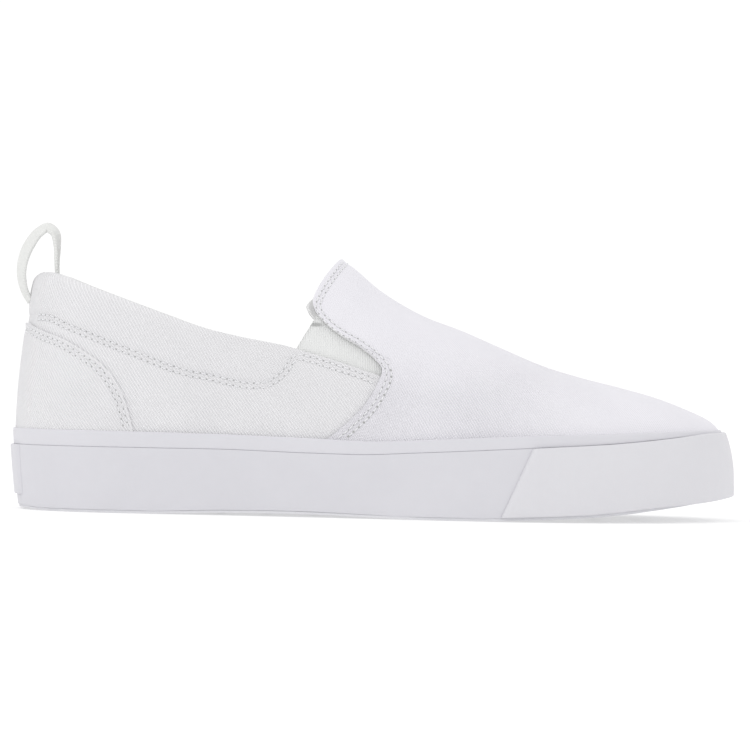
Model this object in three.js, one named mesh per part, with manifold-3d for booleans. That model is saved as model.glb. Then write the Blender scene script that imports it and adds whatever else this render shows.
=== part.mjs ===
import * as THREE from 'three';
import { mergeVertices } from 'three/addons/utils/BufferGeometryUtils.js';
import Module from 'manifold-3d';

const wasm = await Module();
wasm.setup();

// Driving sizes, in mm. X runs from heel to toe, Z is up and the outer side of the foot is at -Y.
const LENGTH = 283;
const BALL_WIDTH = 104;
const INSTEP_HEIGHT = 99.5;
const COLLAR_HEEL_HEIGHT = 92;
const FOXING_HEIGHT = 31;
const TOE_SPRING = 10.4;
const WALL = 1.6;
const COLLAR_PAD = 6.2;
const COLLAR_BAND = 17;
const VAMP_STEP = 0.9;
const COUNTER_THICKNESS = 0.9;
const TAPE_THICKNESS = 1.5;
const BUMPER_PROUD = 1.4;
const PATCH_PROUD = 1;
const STRIP_RECESS = 0.25;
const INSOLE_THICKNESS = 4;
const GORE_THICKNESS = 1.2;
const LINING_THICKNESS = 1;
const LOOP_WIDTH = 9;
const LOOP_THICKNESS = 2.2;
const GAP = 0.3;

// The origin is under the heel, this far from its back.
const HEEL_SPOT = 38;

// A table's column as a smooth curve through its rows, by the column named at.
function curve(table, column) {
  const at = table.map((row) => row.at);
  const value = table.map((row) => row[column]);
  const last = at.length - 1;
  const slope = (i) => {
    const a = Math.max(i - 1, 0);
    const b = Math.min(i + 1, last);
    if (i === 0 || i === last) return (value[b] - value[a]) / (at[b] - at[a]);
    const before = (value[i] - value[a]) / (at[i] - at[a]);
    const after = (value[b] - value[i]) / (at[b] - at[i]);
    const share = (at[i] - at[a]) / (at[b] - at[a]);
    return before * (1 - share) + after * share;
  };
  const slopes = at.map((_, i) => slope(i));
  return (x) => {
    if (x <= at[0]) return value[0] + slopes[0] * (x - at[0]);
    if (x >= at[last]) return value[last] + slopes[last] * (x - at[last]);
    let i = 0;
    while (x > at[i + 1]) i += 1;
    const run = at[i + 1] - at[i];
    const t = (x - at[i]) / run;
    const u = 1 - t;
    return value[i] * u * u * (1 + 2 * t) + value[i + 1] * t * t * (3 - 2 * t)
      + slopes[i] * run * t * u * u - slopes[i + 1] * run * t * t * u;
  };
}

const mix = (a, b, t) => a + (b - a) * t;
const clamp = (x) => Math.min(Math.max(x, 0), 1);
const smooth = (x) => clamp(x) * clamp(x) * (3 - 2 * clamp(x));
// From 0 at one value of x to 1 at another.
const ramp = (none, full, x) => smooth((x - none) / (full - none));

// Plan of the foxing: at is the share of the length from the heel, the sides are shares of the ball width.
const PLAN = [
  { at: 0, outer: 0, inner: 0 },
  { at: 0.02, outer: -0.178, inner: 0.178 },
  { at: 0.06, outer: -0.285, inner: 0.285 },
  { at: 0.12, outer: -0.338, inner: 0.338 },
  { at: 0.2, outer: -0.355, inner: 0.352 },
  { at: 0.32, outer: -0.362, inner: 0.338 },
  { at: 0.42, outer: -0.384, inner: 0.334 },
  { at: 0.52, outer: -0.423, inner: 0.368 },
  { at: 0.62, outer: -0.458, inner: 0.444 },
  { at: 0.7, outer: -0.457, inner: 0.502 },
  { at: 0.78, outer: -0.418, inner: 0.522 },
  { at: 0.86, outer: -0.335, inner: 0.492 },
  { at: 0.92, outer: -0.232, inner: 0.43 },
  { at: 0.97, outer: -0.09, inner: 0.325 },
  { at: 1, outer: 0.125, inner: 0.125 },
];

// Heights of the sole along its side: foxing top and groove as shares of the foxing's height at the heel,
// the bottom as a share of the toe spring. tuck and lean are insets of its wall at the bottom and at the
// top, in mm.
const SIDE = [
  { at: 0, top: 1, groove: 0.8, bottom: 0.06, tuck: 3, lean: 0.1 },
  { at: 0.05, top: 1, groove: 0.8, bottom: 0, tuck: 2.4, lean: 0.1 },
  { at: 0.12, top: 1, groove: 0.8, bottom: 0, tuck: 1.2, lean: 0.2 },
  { at: 0.2, top: 0.996, groove: 0.8, bottom: 0, tuck: 1, lean: 0.3 },
  { at: 0.3, top: 0.985, groove: 0.8, bottom: 0.08, tuck: 1, lean: 0.4 },
  { at: 0.42, top: 0.958, groove: 0.776, bottom: 0.09, tuck: 1, lean: 0.4 },
  { at: 0.5, top: 0.938, groove: 0.776, bottom: 0.03, tuck: 1, lean: 0.4 },
  { at: 0.54, top: 0.955, groove: 0.798, bottom: 0, tuck: 1, lean: 0.4 },
  { at: 0.645, top: 1.01, groove: 0.855, bottom: 0, tuck: 1, lean: 0.4 },
  { at: 0.72, top: 1.045, groove: 0.898, bottom: 0.07, tuck: 1, lean: 0.6 },
  { at: 0.81, top: 1.075, groove: 0.95, bottom: 0.21, tuck: 0.8, lean: 1 },
  { at: 0.9, top: 1.11, groove: 1.03, bottom: 0.52, tuck: 0.5, lean: 2.2 },
  { at: 0.96, top: 1.13, groove: 1.088, bottom: 0.78, tuck: 0.3, lean: 3.6 },
  { at: 1, top: 1.14, groove: 1.1, bottom: 1, tuck: 0.2, lean: 4.4 },
];
// Height of the outsole's top, on which the upper and the insole stand, as a share of the foxing's height.
const BED = [
  { at: 0, height: 0.56 },
  { at: 0.2, height: 0.54 },
  { at: 0.5, height: 0.46 },
  { at: 0.7, height: 0.46 },
  { at: 0.85, height: 0.56 },
  { at: 1, height: 0.78 },
];

// Ridge of the shoe over its middle, the vamp included: height as a share of the instep height.
// Behind the vamp's tip the ridge is the shin's, which only guides the sides.
const RIDGE = [
  { at: 0.04, height: 1.05 },
  { at: 0.2, height: 1.06 },
  { at: 0.36, height: 1.08 },
  { at: 0.41, height: 1.045 },
  { at: 0.4493, height: 0.994 },
  { at: 0.505, height: 0.87 },
  { at: 0.561, height: 0.781 },
  { at: 0.617, height: 0.723 },
  { at: 0.673, height: 0.657 },
  { at: 0.729, height: 0.593 },
  { at: 0.784, height: 0.548 },
  { at: 0.84, height: 0.511 },
  { at: 0.895, height: 0.468 },
  { at: 0.935, height: 0.424 },
  { at: 0.968, height: 0.377 },
];

// The ridge's distance from the middle plane, towards the inner side, as a share of the ball width.
const MIDDLE = [
  { at: 0.04, aside: 0 },
  { at: 0.4, aside: 0 },
  { at: 0.5, aside: 0.018 },
  { at: 0.7, aside: 0.062 },
  { at: 0.925, aside: 0.1 },
];
// The line of the mouth from the side: height as a share of the collar's height at the heel.
const MOUTH = [
  { at: 0, height: 1.012 },
  { at: 0.03, height: 1.002 },
  { at: 0.06, height: 0.99 },
  { at: 0.1, height: 0.949 },
  { at: 0.155, height: 0.89 },
  { at: 0.209, height: 0.833 },
  { at: 0.263, height: 0.778 },
  { at: 0.318, height: 0.738 },
  { at: 0.371, height: 0.71 },
  { at: 0.391, height: 0.705 },
  { at: 0.406, height: 0.775 },
  { at: 0.414, height: 0.86 },
  { at: 0.424, height: 0.945 },
  { at: 0.437, height: 1.015 },
  { at: 0.4485, height: 1.065 },
];

// The upper's ribs, from the toe's tip (0) along one side to the back of the heel (1). crown is the place of
// the rib's upper end as a share of the length, side that end's distance from the ridge as a share of the
// ball width. The lower control stands rise of the rib's height above its foot. The upper one lies shoulder
// of the rib's width outside the crown, and drop of its height below it.
const RIBS = [
  { at: 0, crown: 0.925, side: 0, rise: 0.72, shoulder: 0.68, drop: 0 },
  { at: 0.1, crown: 0.908, side: 0, rise: 0.66, shoulder: 0.66, drop: 0 },
  { at: 0.2, crown: 0.862, side: 0, rise: 0.58, shoulder: 0.62, drop: 0 },
  { at: 0.3, crown: 0.775, side: 0, rise: 0.54, shoulder: 0.61, drop: 0 },
  { at: 0.4, crown: 0.65, side: 0, rise: 0.53, shoulder: 0.62, drop: 0 },
  { at: 0.5, crown: 0.5, side: 0, rise: 0.52, shoulder: 0.66, drop: 0 },
  { at: 0.56, crown: 0.415, side: 0, rise: 0.49, shoulder: 0.7, drop: 0.02 },
  { at: 0.62, crown: 0.345, side: 0.17, rise: 0.45, shoulder: 0.66, drop: 0.24 },
  { at: 0.7, crown: 0.25, side: 0.26, rise: 0.42, shoulder: 0.66, drop: 0.42 },
  { at: 0.8, crown: 0.14, side: 0.25, rise: 0.4, shoulder: 0.7, drop: 0.45 },
  { at: 0.9, crown: 0.06, side: 0.15, rise: 0.4, shoulder: 0.72, drop: 0.45 },
  { at: 1, crown: 0.039, side: 0, rise: 0.4, shoulder: 0.74, drop: 0.45 },
];

// Seams as they lie from the side: stations as shares of the length, heights of the collar's height.
const VAMP_EDGE = [
  { at: 0.51, height: 0.6 },
  { at: 0.496, height: 0.648 },
  { at: 0.4745, height: 0.698 },
  { at: 0.448, height: 0.743 },
  { at: 0.429, height: 0.787 },
  { at: 0.417, height: 0.83 },
  { at: 0.411, height: 0.88 },
  { at: 0.409, height: 0.9 },
];
const VAMP_FOOT_EDGE = [
  { at: 0.51, height: 0.589 },
  { at: 0.5, height: 0.53 },
  { at: 0.489, height: 0.466 },
  { at: 0.466, height: 0.39 },
  { at: 0.437, height: 0.315 },
];
const QUARTER_EDGE = [
  { at: 0.366, height: 0.726 },
  { at: 0.388, height: 0.701 },
  { at: 0.4096, height: 0.677 },
  { at: 0.449, height: 0.643 },
  { at: 0.488, height: 0.605 },
  { at: 0.507, height: 0.59 },
];
const COUNTER_EDGE = [
  { at: 0.0262, height: 0.779 },
  { at: 0.033, height: 0.768 },
  { at: 0.05, height: 0.744 },
  { at: 0.079, height: 0.711 },
  { at: 0.107, height: 0.664 },
  { at: 0.13, height: 0.617 },
  { at: 0.147, height: 0.562 },
  { at: 0.161, height: 0.49 },
  { at: 0.171, height: 0.404 },
  { at: 0.178, height: 0.32 },
];
const GORE_EDGE = [
  { at: 0.388, height: 0.6 },
  { at: 0.53, height: 0.5 },
  { at: 0.53, height: 0.636 },
  { at: 0.44, height: 0.795 },
  { at: 0.388, height: 0.795 },
];
const BUMPER_END = { top: 0.709, high: 0.284, bottom: 0.668, low: 0 };
const LOOP_PATH = [
  { at: 0.0235, height: 0.868 },
  { at: 0.0155, height: 0.915 },
  { at: 0.0107, height: 0.991 },
  { at: 0.0138, height: 1.058 },
  { at: 0.0223, height: 1.117 },
  { at: 0.034, height: 1.163 },
  { at: 0.0455, height: 1.183 },
  { at: 0.0548, height: 1.163 },
  { at: 0.058, height: 1.11 },
  { at: 0.0592, height: 1.045 },
  { at: 0.064, height: 0.975 },
  { at: 0.0725, height: 0.91 },
  { at: 0.076, height: 0.845 },
];
const LOOP_TWIST = 0.16;

const TAPE_BACK = PATCH_PROUD - 0.2;
const TAPE_LENGTH = LENGTH - BUMPER_PROUD - TAPE_BACK;
const planCurve = {};
for (const name of ['outer', 'inner']) {
  const rows = PLAN.map((row) => ({ at: Math.acos(1 - 2 * row.at), value: row[name] }));
  planCurve[name] = curve(rows, 'value');
}
const side = {};
for (const name of ['top', 'groove', 'bottom', 'tuck', 'lean']) side[name] = curve(SIDE, name);
const bedShare = curve(BED, 'height');
const ridgeShare = curve(RIDGE, 'height');
const mouthShare = curve(MOUTH, 'height');
const middleShare = curve(MIDDLE, 'aside');
const rib = {};
for (const name of ['crown', 'side', 'rise', 'shoulder', 'drop']) rib[name] = curve(RIBS, name);

const share = (x) => (x + HEEL_SPOT) / LENGTH;
const station = (at) => at * LENGTH - HEEL_SPOT;
const topHeight = (x) => side.top(share(x)) * FOXING_HEIGHT;
const grooveHeight = (x) => side.groove(share(x)) * FOXING_HEIGHT;
const bottomHeight = (x) => Math.max(side.bottom(share(x)), 0) * TOE_SPRING;
const bedHeight = (x) => bedShare(share(x)) * FOXING_HEIGHT;
const mouthHeight = (x) => mouthShare(share(x)) * COLLAR_HEEL_HEIGHT;

// A place on the plan of the tape's outer face: turn runs from 1 at the toe along the outer side to 0 at the
// heel, and on to -1 along the inner side.
function planPoint(turn) {
  const angle = Math.PI * Math.abs(turn);
  const name = turn < 0 ? 'inner' : 'outer';
  const x = TAPE_BACK - HEEL_SPOT + (TAPE_LENGTH * (1 - Math.cos(angle))) / 2;
  return { x, y: planCurve[name](angle) * BALL_WIDTH };
}
// A small step of a form's own measures, over which its direction is taken, and the way round its ends.
const STEP = 0.004;
const around = (t) => (t > 1 ? t - 2 : t < -1 ? t + 2 : t);
// The same place moved inwards, square to the outline.
function planAt(turn, inset) {
  const p = planPoint(turn);
  const a = planPoint(around(turn + STEP));
  const b = planPoint(around(turn - STEP));
  const length = Math.hypot(a.x - b.x, a.y - b.y);
  return { x: p.x + (inset * (b.y - a.y)) / length, y: p.y + (inset * (a.x - b.x)) / length };
}

// A closed solid from a list of faces, each a list of points in order, seen from outside.
function solid(faces) {
  const positions = [];
  for (const face of faces) {
    for (let i = 1; i + 1 < face.length; i += 1) positions.push(...face[0], ...face[i], ...face[i + 1]);
  }
  const geometry = new THREE.BufferGeometry();
  geometry.setAttribute('position', new THREE.Float32BufferAttribute(positions, 3));
  return manifold(geometry);
}
function manifold(source) {
  const geometry = source.index ? source.toNonIndexed() : source;
  geometry.deleteAttribute('normal');
  geometry.deleteAttribute('uv');
  const merged = mergeVertices(geometry, 1e-3);
  const index = merged.index.array;
  const kept = [];
  for (let i = 0; i < index.length; i += 3) {
    const [a, b, c] = [index[i], index[i + 1], index[i + 2]];
    if (a !== b && b !== c && a !== c) kept.push(a, b, c);
  }
  const mesh = new wasm.Mesh({
    numProp: 3,
    vertProperties: merged.attributes.position.array,
    triVerts: new Uint32Array(kept),
  });
  const made = new wasm.Manifold(mesh);
  if (made.volume() > 0) return made;
  throw new Error('a solid is inside out');
}

// A solid with the sole's outline: its wall follows the foxing's side, set in by inset, between two heights.
const WALL_ROWS = [0, 0.35, 0.7, 1];
const PLAN_STEPS = 28;
function outlineSolid(inset, low, high, wallRows = WALL_ROWS) {
  const turns = [];
  for (let i = 0; i <= PLAN_STEPS; i += 1) turns.push(1 - i / PLAN_STEPS);
  for (let i = PLAN_STEPS - 1; i > 0; i -= 1) turns.push(-(1 - i / PLAN_STEPS));
  const columns = turns.map((turn) => {
    const flat = planAt(turn, 0);
    const at = share(flat.x);
    const bottom = bottomHeight(flat.x);
    const top = topHeight(flat.x);
    return wallRows.map((row) => {
      const z = mix(low(flat.x), high(flat.x), row);
      const h = clamp((z - bottom) / (top - bottom));
      const tucked = side.tuck(at) * (1 - h) ** 1.3 + side.lean(at) * h ** 2.5;
      const p = planAt(turn, inset + tucked);
      return [p.x, p.y, z];
    });
  });
  const faces = [];
  const count = columns.length;
  const last = wallRows.length - 1;
  columns.forEach((column, i) => {
    const next = columns[(i + 1) % count];
    for (let j = 0; j < last; j += 1) faces.push([column[j + 1], next[j + 1], next[j], column[j]]);
  });
  for (let i = 0; i < PLAN_STEPS; i += 1) {
    const a = columns[i];
    const b = columns[i + 1];
    const c = columns[(count - i - 1) % count];
    const d = columns[(count - i) % count];
    faces.push([a[0], b[0], c[0], d[0]]);
    faces.push([d[last], c[last], b[last], a[last]]);
  }
  return solid(faces);
}

const sub = (a, b) => [a[0] - b[0], a[1] - b[1], a[2] - b[2]];
const add = (a, b, k) => [a[0] + b[0] * k, a[1] + b[1] * k, a[2] + b[2] * k];
const cross = (a, b) => [a[1] * b[2] - a[2] * b[1], a[2] * b[0] - a[0] * b[2], a[0] * b[1] - a[1] * b[0]];
const unit = (a) => add([0, 0, 0], a, 1 / Math.hypot(...a));

// How far a rib's crown stands aside of the ridge.
const crownWidth = (u) => Math.max(rib.side(Math.abs(u)), 0) * BALL_WIDTH;
const ridgeHeight = (x) => ridgeShare(share(x)) * INSTEP_HEIGHT - VAMP_STEP;
// The share of the foxing's lean by which the upper's foot is set in, and how soon a drop of the shoulder
// stops it from following the ridge's slope.
const FOOT_LEAN = 0.5;
const SLOPE_FADE = 5;

// The upper's form under the vamp layer. u runs from 0 at the toe's tip to 1 at the heel along the outer side
// and to -1 along the inner side, v from the foot of the rib (0) to its crown (1).
function formPoint(u, v) {
  const s = Math.abs(u);
  const turn = (u < 0 ? -1 : 1) * (1 - s);
  const flat = planAt(turn, 0);
  const inset = TAPE_THICKNESS + GAP + FOOT_LEAN * side.lean(share(flat.x));
  const foot = planAt(turn, inset);
  const crownX = station(rib.crown(s));
  const crownY = middleShare(rib.crown(s)) * BALL_WIDTH + (u < 0 ? 1 : -1) * crownWidth(u);
  const footZ = bedHeight(flat.x) + GAP;
  const crownZ = ridgeHeight(crownX);
  const width = Math.hypot(foot.x - crownX, foot.y - crownY);
  const out = [(foot.x - crownX) / width, (foot.y - crownY) / width];
  const reach = rib.shoulder(s) * width;
  const drop = Math.max(rib.drop(s), 0);
  const slope = (ridgeHeight(crownX + 1) - ridgeHeight(crownX - 1)) / 2;
  const lowZ = mix(footZ, crownZ, rib.rise(s));
  const highX = crownX + out[0] * reach;
  const highY = crownY + out[1] * reach;
  const level = clamp(1 - drop * SLOPE_FADE);
  const highZ = crownZ + slope * out[0] * reach * level - drop * (crownZ - footZ);
  const w = 1 - v;
  const k = [w * w * w, 3 * w * w * v, 3 * w * v * v, v * v * v];
  return [
    k[0] * foot.x + k[1] * foot.x + k[2] * highX + k[3] * crownX,
    k[0] * foot.y + k[1] * foot.y + k[2] * highY + k[3] * crownY,
    k[0] * footZ + k[1] * lowZ + k[2] * highZ + k[3] * crownZ,
  ];
}
// The outward direction, taken a little below the crown where ribs meet there.
const NORMAL_TOP = 0.98;
function formNormal(u, crownward) {
  const v = Math.min(crownward, NORMAL_TOP);
  const along = sub(formPoint(around(u + STEP), v), formPoint(around(u - STEP), v));
  const up = sub(formPoint(u, Math.min(v + STEP, 1)), formPoint(u, Math.max(v - STEP, 0)));
  return unit(cross(up, along));
}
function overMouth(u, v, lowered) {
  const p = formPoint(u, v);
  return p[2] - mouthHeight(p[0]) + lowered;
}
// Where a rising test first holds between two values.
const HALVINGS = 30;
function crossing(from, to, holds) {
  let low = from;
  let high = to;
  for (let i = 0; i < HALVINGS; i += 1) {
    const middle = (low + high) / 2;
    if (holds(middle)) high = middle;
    else low = middle;
  }
  return low;
}
// The share of a rib that lies below the mouth.
const RIB_LOW = 0.3;
function mouthShareOfRib(u, lowered) {
  if (overMouth(u, 1, lowered) <= 0) return 1;
  return crossing(RIB_LOW, 1, (v) => overMouth(u, v, lowered) > 0);
}
// The ribs between which the vamp's tip is looked for.
const TIP_RIBS = { first: 0.3, last: 0.6 };
const firstOpenRib = (lowered) => (
  crossing(TIP_RIBS.first, TIP_RIBS.last, (u) => overMouth(u, 1, lowered) > 0));

// The padding inside the collar: none at the gores, SIDE_PAD of its thickness along the sides, full at the
// heel. Rows give shares of the length, and below the mouth shares of the band's height.
const SIDE_PAD = 0.75;
const PAD_ALONG = { none: 0.385, full: 0.225 };
const PAD_HEEL = { none: 0.12, full: 0.02 };
const PAD_BELOW = { none: 1.5, full: 0.7 };
function padding(p) {
  const at = share(p[0]);
  const below = (mouthHeight(p[0]) - p[2]) / COLLAR_BAND;
  return COLLAR_PAD
    * mix(SIDE_PAD, 1, ramp(PAD_HEEL.none, PAD_HEEL.full, at))
    * ramp(PAD_ALONG.none, PAD_ALONG.full, at)
    * ramp(PAD_BELOW.none, PAD_BELOW.full, below);
}
const wallAt = (p) => WALL + padding(p);

// All layers share one lattice of ribs: FRONT_RIBS up to the vamp's tip, BACK_RIBS behind it, on each side.
const FRONT_RIBS = 15;
const BACK_RIBS = 15;
const RIB_ROWS = 8;
// How far the rim's outer and inner edges lie under the mouth's line, and how much its round stands up.
const RIM_DROP = 1.2;
const RIM_RISE = 1.8;
const RIM_DEGREES = [35, 90, 145];
// Ribs crowd behind the vamp's tip, and rows towards the mouth where the ribs are open.
const RIB_CROWDING = 1.4;
const ROW_CROWDING = 0.9;
const EVEN_ROWS = { from: 0.4, to: 0.65 };
const open = firstOpenRib(RIM_DROP);
const places = [];
for (let i = 0; i < FRONT_RIBS; i += 1) places.push((open * i) / FRONT_RIBS);
for (let i = 0; i <= BACK_RIBS; i += 1) places.push(mix(open, 1, (i / BACK_RIBS) ** RIB_CROWDING));
const us = [...places, ...places.slice(1, -1).reverse().map((s) => -s)];
const isOpen = (u) => Math.abs(u) >= open;
function rowShare(u, j) {
  const even = j / RIB_ROWS;
  const crowded = Math.sin((Math.PI / 2) * even) ** ROW_CROWDING;
  return mix(even, crowded, ramp(EVEN_ROWS.from, EVEN_ROWS.to, Math.abs(u)));
}

// A shell that follows the form between two offsets, with a rounded rim at the mouth.
function shell({ outer, inner, past = () => 0 }) {
  const rows = RIB_ROWS;
  const columns = us.map((u) => {
    const top = isOpen(u) ? mouthShareOfRib(u, RIM_DROP) : 1;
    const points = [];
    for (let j = 0; j <= rows; j += 1) {
      const v = top * rowShare(u, j);
      const p = formPoint(u, v);
      let n = formNormal(u, v);
      if (j === rows && Math.abs(u) <= open) n = unit(add(n, formNormal(-u, v), 1));
      points.push({ outer: add(p, n, outer(p)), inner: add(p, n, inner(p)), p, n });
    }
    return { u, points };
  });
  const at = (u) => columns.find((column) => column.u === u);
  const tip = at(open);
  const tipTwin = at(-open);
  const mouth = columns.filter((column) => isOpen(column.u) && column !== tipTwin);
  mouth.forEach((column, i) => {
    const here = column.points[rows];
    const after = mouth[(i + 1) % mouth.length].points[rows].p;
    const before = mouth[(i + mouth.length - 1) % mouth.length].points[rows].p;
    const up = unit(cross(sub(after, before), here.n));
    here.outer = add(here.outer, up, past(here.p));
    here.inner = add(here.inner, up, past(here.p));
    const thick = Math.hypot(...sub(here.outer, here.inner));
    const middle = add(here.inner, sub(here.outer, here.inner), 0.5);
    const height = Math.min(thick / 2, RIM_RISE);
    column.rim = [here.outer];
    for (const degrees of RIM_DEGREES) {
      const angle = (degrees * Math.PI) / 180;
      const across = add(middle, here.n, (Math.cos(angle) * thick) / 2);
      column.rim.push(add(across, up, height * Math.sin(angle)));
    }
    column.rim.push(here.inner);
  });
  // The two sides share their crown points.
  tipTwin.rim = tip.rim;
  for (const column of columns) {
    if (column.u < 0 && column.u >= -open) column.points[rows] = at(-column.u).points[rows];
  }
  const faces = [];
  const count = columns.length;
  columns.forEach((column, i) => {
    const next = columns[(i + 1) % count];
    const a = column.points;
    const b = next.points;
    for (let j = 0; j < rows; j += 1) {
      faces.push([a[j + 1].outer, b[j + 1].outer, b[j].outer, a[j].outer]);
      faces.push([a[j].inner, b[j].inner, b[j + 1].inner, a[j + 1].inner]);
    }
    faces.push([a[0].outer, b[0].outer, b[0].inner, a[0].inner]);
    if (isOpen(column.u) && isOpen(next.u)) {
      const [r, q] = [column.rim, next.rim];
      for (let j = 0; j + 1 < r.length; j += 1) faces.push([r[j + 1], q[j + 1], q[j], r[j]]);
    }
  });
  return solid(faces);
}

// The form as a filled solid up to its crown, set out by offset and let down by low.
function filled(offset, low) {
  const rows = RIB_ROWS + 1;
  const columns = us.map((u) => {
    const top = mouthShareOfRib(u, RIM_DROP);
    const points = [];
    for (let j = 0; j <= rows; j += 1) {
      const v = j < rows ? top * rowShare(u, j) : 1;
      const p = formPoint(u, v);
      let n = formNormal(u, v);
      if (v === 1 && crownWidth(u) === 0) n = unit(add(n, formNormal(-u, v), 1));
      const q = add(p, n, offset);
      points.push(j === 0 ? [q[0], q[1], q[2] - low] : q);
    }
    return points;
  });
  us.forEach((u, i) => {
    if (u < 0 && crownWidth(u) === 0) columns[i][rows] = columns[us.indexOf(-u)][rows];
  });
  const faces = [];
  const count = columns.length;
  columns.forEach((a, i) => {
    const b = columns[(i + 1) % count];
    for (let j = 0; j < rows; j += 1) faces.push([a[j + 1], b[j + 1], b[j], a[j]]);
  });
  for (let i = 0; i < places.length - 1; i += 1) {
    const a = columns[i];
    const b = columns[i + 1];
    const c = columns[(count - i - 1) % count];
    const d = columns[(count - i) % count];
    faces.push([d[rows], c[rows], b[rows], a[rows]]);
    faces.push([a[0], b[0], c[0], d[0]]);
  }
  return solid(faces);
}

// A solid with an outline in the side view, between two distances across the shoe.
function sidePrism(points, from, to) {
  const shape = new THREE.Shape(points.map(([x, z]) => new THREE.Vector2(x, z)));
  const geometry = new THREE.ExtrudeGeometry(shape, { depth: to - from, bevelEnabled: false });
  geometry.rotateX(Math.PI / 2);
  geometry.translate(0, to, 0);
  return manifold(geometry);
}
const seam = (rows) => rows.map((row) => [station(row.at), row.height * COLLAR_HEEL_HEIGHT]);
// Farther than any point of the shoe from its middle.
const FAR = LENGTH;

// Sole.
const overBed = (gap) => (x) => bedHeight(x) + gap;
const EDGE_LIP = 0.9;
const TREAD_DEPTH = 1.3;
const TREAD_PITCH = 18;
const TREAD_GROOVE = 3;
const TREAD_ROWS = 13;
const TREAD_FIRST = -9;
const TREAD_HALF_WIDTH = 0.26 * BALL_WIDTH;
function outsoleSolid() {
  const body = outlineSolid(TAPE_THICKNESS + GAP, (x) => bottomHeight(x) + EDGE_LIP / 2, overBed(0));
  const lip = outlineSolid(GAP, bottomHeight, (x) => bottomHeight(x) + EDGE_LIP);
  let made = body.add(lip);
  for (let i = 0; i < TREAD_ROWS; i += 1) {
    const x = TREAD_FIRST + TREAD_PITCH * i;
    const z = bottomHeight(x) + TREAD_DEPTH;
    const bar = [
      [x - TREAD_GROOVE / 2, -FAR],
      [x + TREAD_GROOVE / 2, -FAR],
      [x + TREAD_GROOVE / 2, z],
      [x - TREAD_GROOVE / 2, z],
    ];
    made = made.subtract(sidePrism(bar, -TREAD_HALF_WIDTH, TREAD_HALF_WIDTH));
  }
  return made;
}
const outsole = outsoleSolid();
// How far a cutting solid passes what it cuts, and a wider gap under the upper's foot.
const CLEAR = 2;
const FOOT_GAP = 1.5 * GAP;
const underSole = (x) => bottomHeight(x) - CLEAR;
const overFoxing = (x) => topHeight(x) + CLEAR;
const formRoom = filled(GAP, FOOT_GAP);
const tapeLow = (x) => bottomHeight(x) + EDGE_LIP + GAP;
const foxingTape = outlineSolid(0, tapeLow, (x) => grooveHeight(x) - GAP / 2)
  .subtract(outlineSolid(TAPE_THICKNESS, underSole, overFoxing))
  .subtract(formRoom);
const foxingStrip = outlineSolid(STRIP_RECESS, (x) => grooveHeight(x) + GAP / 2, topHeight, [0, 1])
  .subtract(formRoom);

const bumperRing = outlineSolid(-BUMPER_PROUD, (x) => tapeLow(x) - GAP, (x) => grooveHeight(x) - GAP / 2)
  .subtract(outlineSolid(-GAP, underSole, overFoxing));
const bumperTop = [station(BUMPER_END.top), BUMPER_END.high * COLLAR_HEEL_HEIGHT];
const bumperBottom = [station(BUMPER_END.bottom), BUMPER_END.low];
const bumperSlope = (bumperTop[0] - bumperBottom[0]) / (bumperTop[1] - bumperBottom[1]);
const bumperCut = sidePrism([
  [bumperBottom[0] - FAR * bumperSlope, -FAR],
  [2 * FAR, -FAR],
  [2 * FAR, FAR],
  [bumperTop[0] + (FAR - bumperTop[1]) * bumperSlope, FAR],
], -FAR, FAR);
const toeBumper = bumperRing.intersect(bumperCut);

const PATCH = { front: 6.6, low: 5.6 };
const patchRing = outlineSolid(-PATCH_PROUD, () => PATCH.low, (x) => grooveHeight(x) - GAP / 2)
  .subtract(outlineSolid(-GAP, underSole, overFoxing));
const heelPatch = patchRing.intersect(sidePrism([
  [-FAR, -FAR],
  [PATCH.front - HEEL_SPOT, -FAR],
  [PATCH.front - HEEL_SPOT, FAR],
  [-FAR, FAR],
], -FAR, FAR));

// Upper.
const canvas = shell({
  outer: () => 0,
  inner: (p) => -wallAt(p),
});
// The vamp layer stands on the canvas and is joined with it by this share of the wall.
const LAYER_ROOT = 0.33;
const vampLayer = shell({
  outer: () => VAMP_STEP,
  inner: () => -WALL * LAYER_ROOT,
});
// Points over the foxing's top, from one station to another.
const footLine = (from, to, steps) => Array.from({ length: steps + 1 }, (_, i) => {
  const x = mix(from, to, i / steps);
  return [x, topHeight(x) + GAP];
});
const VAMP_FOOT_STEPS = 24;
const vampSeam = [...seam(VAMP_EDGE).reverse(), ...seam(VAMP_FOOT_EDGE).slice(1)];
const vampCut = sidePrism([
  ...vampSeam.slice(0, -1),
  ...footLine(vampSeam.at(-1)[0], station(1), VAMP_FOOT_STEPS),
  [station(1), FAR],
  [vampSeam[0][0], FAR],
].reverse(), -FAR, FAR);
// The notches for the gores are cut in both sides, and none of the middle between them.
const NOTCH_MIDDLE = 0.12 * BALL_WIDTH;
const quarterEdge = seam(QUARTER_EDGE);
const notchPoints = [...quarterEdge, ...seam(VAMP_EDGE).slice(1)];
const notchTop = [
  [notchPoints.at(-1)[0], FAR],
  [quarterEdge[0][0], FAR],
];
const notchOuter = sidePrism([...notchPoints, ...notchTop], -FAR, -NOTCH_MIDDLE);
const notchInner = sidePrism([...notchPoints, ...notchTop], NOTCH_MIDDLE, FAR);
const upper = canvas.subtract(notchOuter).subtract(notchInner).add(vampLayer.intersect(vampCut));

// The largest body of a cut solid, without the crumbs and slivers that a cut leaves.
const SLIVER = 0.01;
const whole = (made) => made.decompose().sort((a, b) => b.volume() - a.volume())[0].simplify(SLIVER);

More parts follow.
